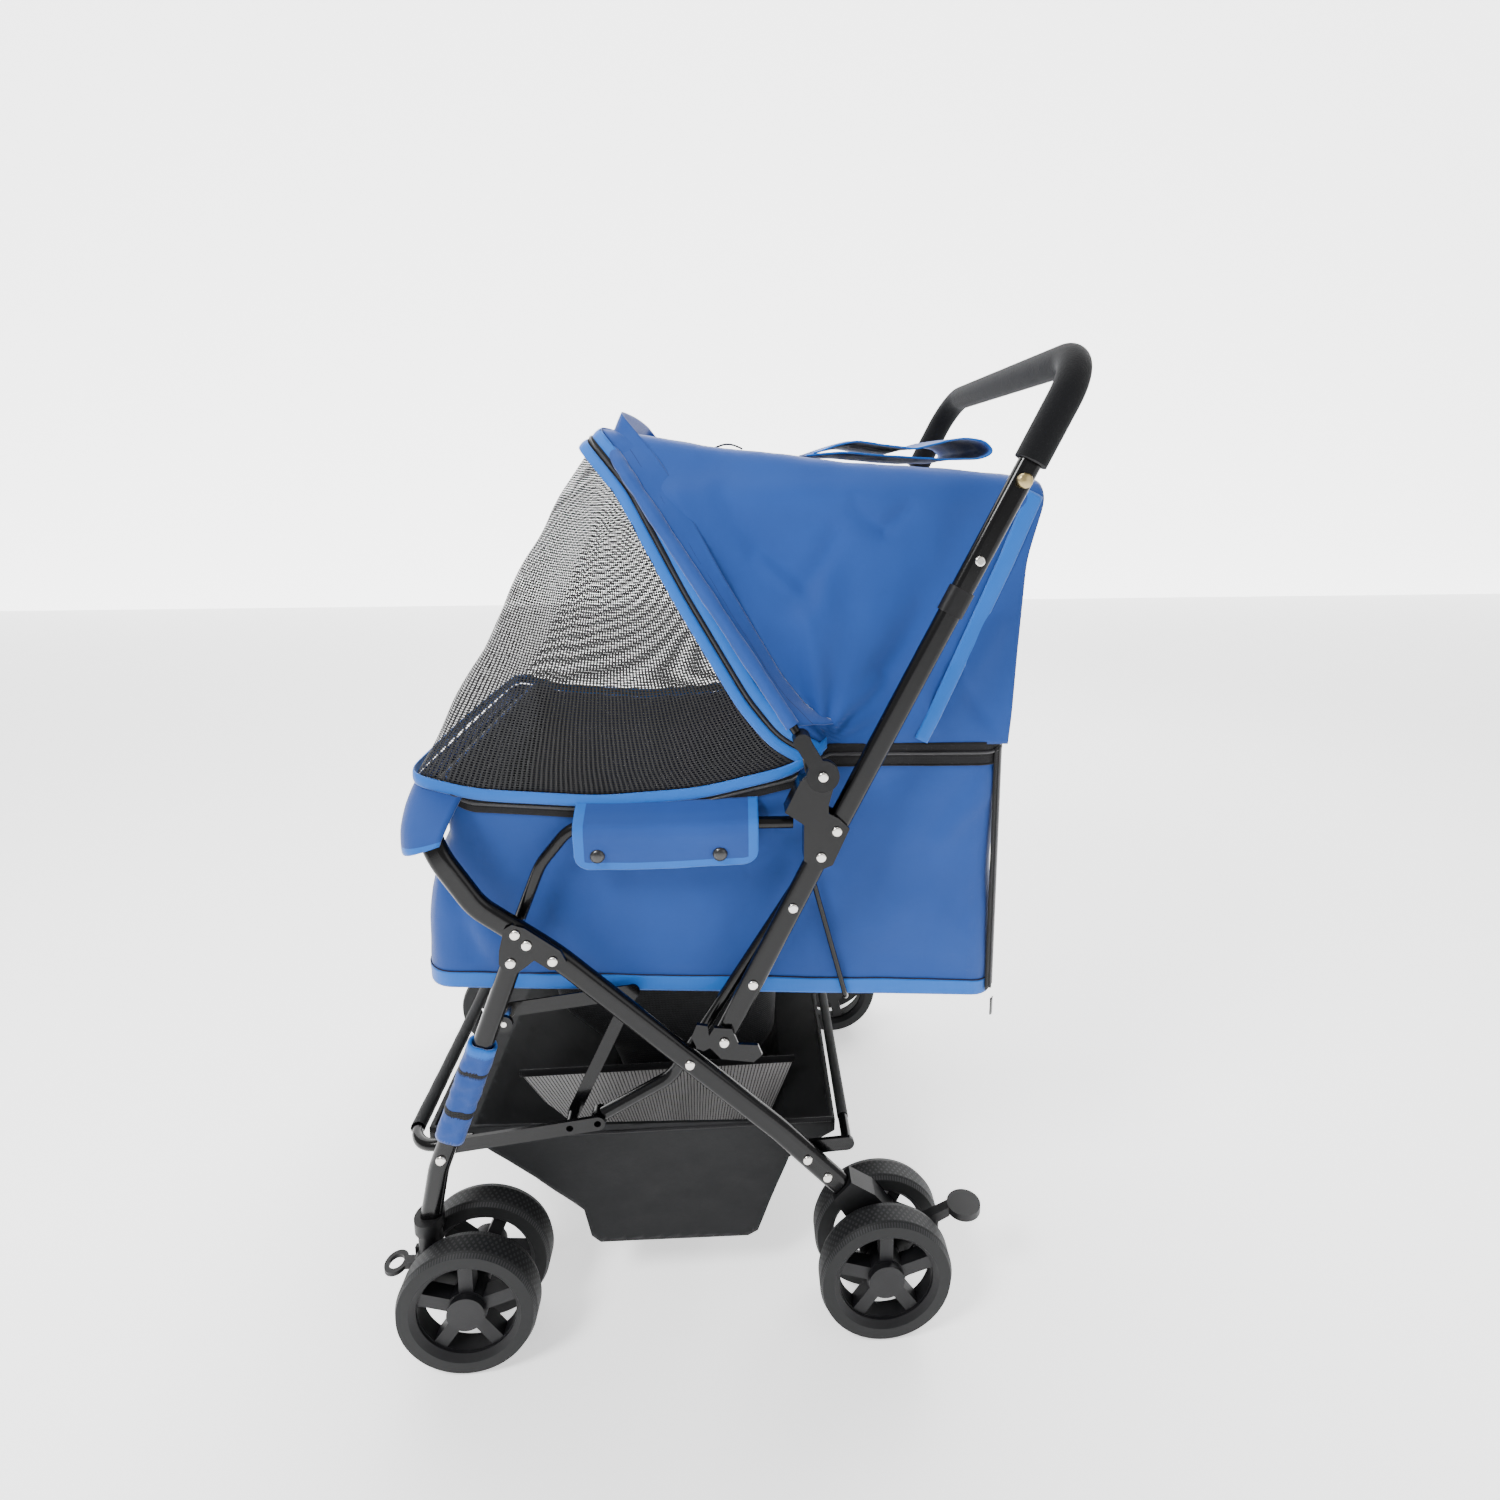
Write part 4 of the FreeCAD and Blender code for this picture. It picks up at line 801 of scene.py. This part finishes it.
def board_crown(p, n):
    x, y = p[:, 0], p[:, 1]
    crown = 5.0 * np.cos(np.clip(y / 158, -1, 1) * np.pi / 2) * (n[:, 2] > 0.3)
    return n * (0.5 * field(p, 40, 17, 2))[:, None] + np.array([0, 0, 1.0]) * crown[:, None]


board = cloth_copy("floor_board", "floor_pad", ["board_navy"], "rear_frame", board_crown)
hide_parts("floor_board")

TOP, END = np.array((-176.0, 307.0)), np.array((-211.0, 214.0))


def sleeve_part(centre):
    """Sky band at the top of a leg sleeve, and its two black straps."""
    along = (END - TOP) / np.linalg.norm(END - TOP)
    t = (np.array((centre.x, centre.z)) - TOP).dot(along)
    return 1 if t < 8 else 2 if 24 < t < 30 or 66 < t < 72 else 0


def sleeve_folds(p, n):
    return n * (0.9 * field(p, 16, 41, 3, (1, 1, 1.6)) + 0.3)[:, None]


sleeves = cloth_copy("leg_sleeves", "leg_sleeve_cloth",
                     ["fabric_blue", "fabric_sky", "webbing_black"], "front_legs", sleeve_folds,
                     pick=sleeve_part, reach=3.5)
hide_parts("leg_sleeves")
SOFT["front_legs"].remove(sleeves)

front = np.flatnonzero(PLAN[:, 0] < -186)
front = front[np.argsort(np.arctan2(PLAN[front, 1], -(PLAN[front, 0] + 150)))]
plan = PLAN[front]
t = np.linspace(0, 1, 26)[None, :, None]
upper = np.c_[plan, rim_height(plan[:, 0]) - 1.0][:, None]
lower = np.c_[-241 + (plan[:, 0] + 238) * 0.9, plan[:, 1] * 1.225,
              489 + 0.3 * (plan[:, 0] + 238)][:, None]
away = unit(np.c_[np.minimum(plan[:, 0] + 205, 0) * 3, plan[:, 1] * 0.5,
                  np.zeros(len(plan))])[:, None]
apron = upper * (1 - t) + lower * t + away * 7.0 * np.sin(np.pi * t) ** 0.8
apron += away * (1.8 * field(apron, 34, 55, 3) * np.sin(np.pi * t[..., 0]))[..., None]
apron = soften(apron, 3)
apron_cloth = sheet("bumper_apron", apron, ["fabric_blue", "fabric_sky"], "rear_frame", 1.4,
                    pick=lambda i, j: int(j > 21))
SOFT["rear_frame"].remove(apron_cloth)
cord_line("front_bar_wrap", [(-256, y, 191) for y in np.linspace(-162, 162, 50)],
          6.8 + 0.6 * field(np.array([[(0.0, y, 0.0)] for y in np.linspace(-162, 162, 50)]),
                            20, 57, 2)[:, 0], "fabric_black", "basket_bar", resolution=5)
cord_line("rear_rail_wrap", [(161, y, 173) for y in np.linspace(-160, 160, 50)], 5.6,
          "fabric_black", "rear_frame", resolution=4)

# ---------------------------------------------------------------- canopy pocket, flap and bands

def rounded(points, radius, steps=14):
    """A path with its corners rounded to an arc."""
    points = [np.array(q, float) for q in points]
    path = [points[0]]
    for before, corner, after in zip(points, points[1:], points[2:]):
        a, b = unit(before - corner), unit(after - corner)
        angle = math.acos(float(np.clip(a.dot(b), -1, 1)))
        reach = radius / math.tan(angle / 2)
        centre = corner + unit(a + b) * (radius / math.sin(angle / 2))
        start, end = corner + a * reach - centre, corner + b * reach - centre
        sweep = math.acos(float(np.clip(start.dot(end) / radius ** 2, -1, 1)))
        for t in np.linspace(0, 1, steps):
            path.append(centre + (start * math.sin((1 - t) * sweep)
                                  + end * math.sin(t * sweep)) / math.sin(sweep))
    return np.array(path + [points[-1]])


bow_path = polyline(rounded([(106, -201.5, 602), (-62, -128, 853), (-62, 128, 853),
                             (106, 201.5, 602)], 55), 240)
cover_radius = 6.4 + 0.7 * field(bow_path[:, None], 18, 61, 2)[:, 0]
cord_line("bow_pocket_tube", bow_path, cover_radius, "fabric_blue", "canopy", resolution=6)
inner, _ = bow_arch(-24.0, 1.0)
inner = polyline(inner, 240)
outer = bow_path + unit(inner - bow_path) * 5.0
t = np.linspace(0, 1, 12)[None, :, None]
web = outer[:, None] * (1 - t) + inner[:, None] * t
ripple = 1.6 * (field(web, 26, 71, 2) * np.sin(np.pi * t[..., 0]))[..., None]
web += ripple * np.array([0.3, 1, 0.5])
sheet("bow_pocket_web", web, "fabric_blue", "canopy", 1.2)
cord_line("bow_pocket_seam", web[:, 4] + np.array([0, 0, 0.4]), 0.5, "fabric_navy", "canopy",
          resolution=1)

ROLL = ((128, 839), (170, 842), (215, 838), (262, 835), (305, 836), (316, 843), (306, 853),
        (285, 856), (262, 852), (235, 845), (205, 849), (180, 853), (160, 849), (135, 841))
roll = soften(polyline(ROLL, 120), 4)
roll_y = np.linspace(-95, 95, 60)
grid = np.array([[(x, y, z) for y in roll_y] for x, z in roll])
grid[..., 2] += np.abs(1.6 * field(grid, 60, 81, 3)) + 2.0 * np.cos(grid[..., 1] / 95 * 1.5)
grid[..., 0] += 2.5 * field(grid, 70, 85, 2)
flap_roll = sheet("roof_flap", grid, ["fabric_blue", "fabric_sky"], "canopy", 1.8,
                  pick=lambda i, j: int(j < 3 or j > 55))
strap = np.array([(x, 0, 849 + 5 * math.sin((x - 34) / 32 * math.pi))
                  for x in np.linspace(34, 66, 14)])
ribbon("roof_strap", strap, (0, 1, 0), 18.0, "webbing_black", "canopy")

for side_name, side in SIDES:
    centre = polyline(((340, 803), (229, 574)), 60)
    path = np.c_[centre[:, 0], side * (half(centre[:, 1]) + 1.6), centre[:, 1]]
    direction = unit(np.gradient(centre, axis=0))
    across = np.c_[-direction[:, 1], np.zeros(60), direction[:, 0]]
    ribbon("canopy_band_" + side_name, path, across, np.linspace(17, 13, 60), "fabric_sky",
           "canopy", crown=-side * 1.0)
    corner = np.array([(306.5, side * 161.5, z) for z in np.linspace(563, 312, 70)])
    ribbon("rear_zip_upright_" + side_name, corner, (0.707, -side * 0.707, 0), 15.0,
           "webbing_black", "rear_frame", crown=0.8)
    cord_line("rear_zip_upright_teeth_" + side_name,
              corner + np.array([1.2, side * 1.2, 0]), 1.3, "zip_teeth", "rear_frame")
    pull = np.array([(309, side * 164, 302 - q) for q in np.linspace(0, 18, 8)])
    ribbon("rear_zip_pull_" + side_name, pull, (0.707, -side * 0.707, 0), 5.0, "snap_black",
           "rear_frame")
    hub_pull = np.array([(120 + q * 0.2, side * 173, 560 - q) for q in np.linspace(0, 20, 8)])
    ribbon("hub_zip_pull_" + side_name, hub_pull, (1, 0, 0), 5.0, "snap_black", "rear_frame")
    lathe("handle_screw_" + side_name, (303, side * 202.9, 815), (0, side, 0),
          ((0.01, 7.0), (5.0, 6.6), (6.6, 5.2), (6.6, 1.2), (4.0, 0.0)), "brass", "handle")
    lathe("handle_fitting_" + side_name, (303, side * 190.6, 815), (0, -side, 0),
          ((0.01, 4.4), (5.5, 4.0), (7.2, 2.6), (7.4, 0.0)), "plastic_black", "handle")

FRONT_FACE = np.flatnonzero((PLAN[:, 0] < -237) & (np.abs(PLAN[:, 1]) < 136))
FRONT_FACE = FRONT_FACE[np.argsort(PLAN[FRONT_FACE, 1])]
sheet("front_mesh_strip", tub_surface(lambda x: floor_height(x) + 17, lambda x: x * 0 + 450, 30,
                                      1.6, FRONT_FACE), "mesh_dark", "rear_frame", 0.8)

# ---------------------------------------------------------------- own mesh copies of the soft pieces on the rear frame, flaps left out

for obj in SOFT["rear_frame"]:
    if obj.name.startswith("flap_"):
        continue
    low = obj.name.startswith("basket")
    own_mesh(obj)


# ---------------------------------------------------------------- camera, light and floor

def area(name, where, target, size, power):
    light = bpy.data.lights.new(name, "AREA")
    light.shape = "DISK"
    light.size = size
    light.energy = power
    obj = bpy.data.objects.new(name, light)
    bpy.context.scene.collection.objects.link(obj)
    obj.location = where
    obj.rotation_euler = (Vector(target) - Vector(where)).to_track_quat("-Z", "Y").to_euler()


area("key_light", (-1.2, -1.1, 2.1), (0.0, 0.0, 0.45), 0.7, 58)
area("fill_light", (1.5, -1.4, 1.2), (0.0, 0.0, 0.4), 1.4, 8)
area("top_light", (0.1, 0.4, 2.4), (0.0, 0.0, 0.5), 1.2, 30)
area("rim_light", (1.4, 1.3, 1.6), (0.0, 0.0, 0.5), 0.8, 14)

world = bpy.data.worlds.new("studio")
bpy.context.scene.world = world
world.use_nodes = True
world.node_tree.nodes["Background"].inputs["Color"].default_value = (1, 1, 1, 1)
world.node_tree.nodes["Background"].inputs["Strength"].default_value = 0.62


def stage_plane(name, corners, material):
    data = bpy.data.meshes.new(name)
    data.from_pydata(corners, [], [(0, 1, 2, 3)])
    data.materials.append(material)
    plane = bpy.data.objects.new(name, data)
    bpy.context.scene.collection.objects.link(plane)
    return plane


floor = stage_plane("studio_floor", [(-6, -6, -0.0005), (6, -6, -0.0005), (6, 6, -0.0005),
                                     (-6, 6, -0.0005)],
                    new_material("studio_white", (0.97, 0.97, 0.97), 0.95,
                                 Emission_Color=(1, 1, 1, 1), Emission_Strength=0.9,
                                 Specular_IOR_Level=0.0))
wall = stage_plane("studio_wall", [(-9, 4, -0.0005), (9, 4, -0.0005), (9, 4, 9), (-9, 4, 9)],
                   new_material("studio_wall_white", (1, 1, 1), 1.0,
                                Emission_Color=(1, 1, 1, 1), Emission_Strength=3.2))

camera_data = bpy.data.cameras.new("camera")
camera_data.sensor_width = 36
camera_data.lens = 17.435
camera_data.shift_x = -0.0243
camera_data.shift_y = -0.1134
camera_data.clip_start = 0.01
camera = bpy.data.objects.new("camera", camera_data)
bpy.context.scene.collection.objects.link(camera)
camera.location = (0.058 - SHIFT / 1000, -0.8123, 0.8159)
camera.rotation_euler = (math.radians(90 - 7.87), 0, math.radians(-3.99))
bpy.context.scene.camera = camera
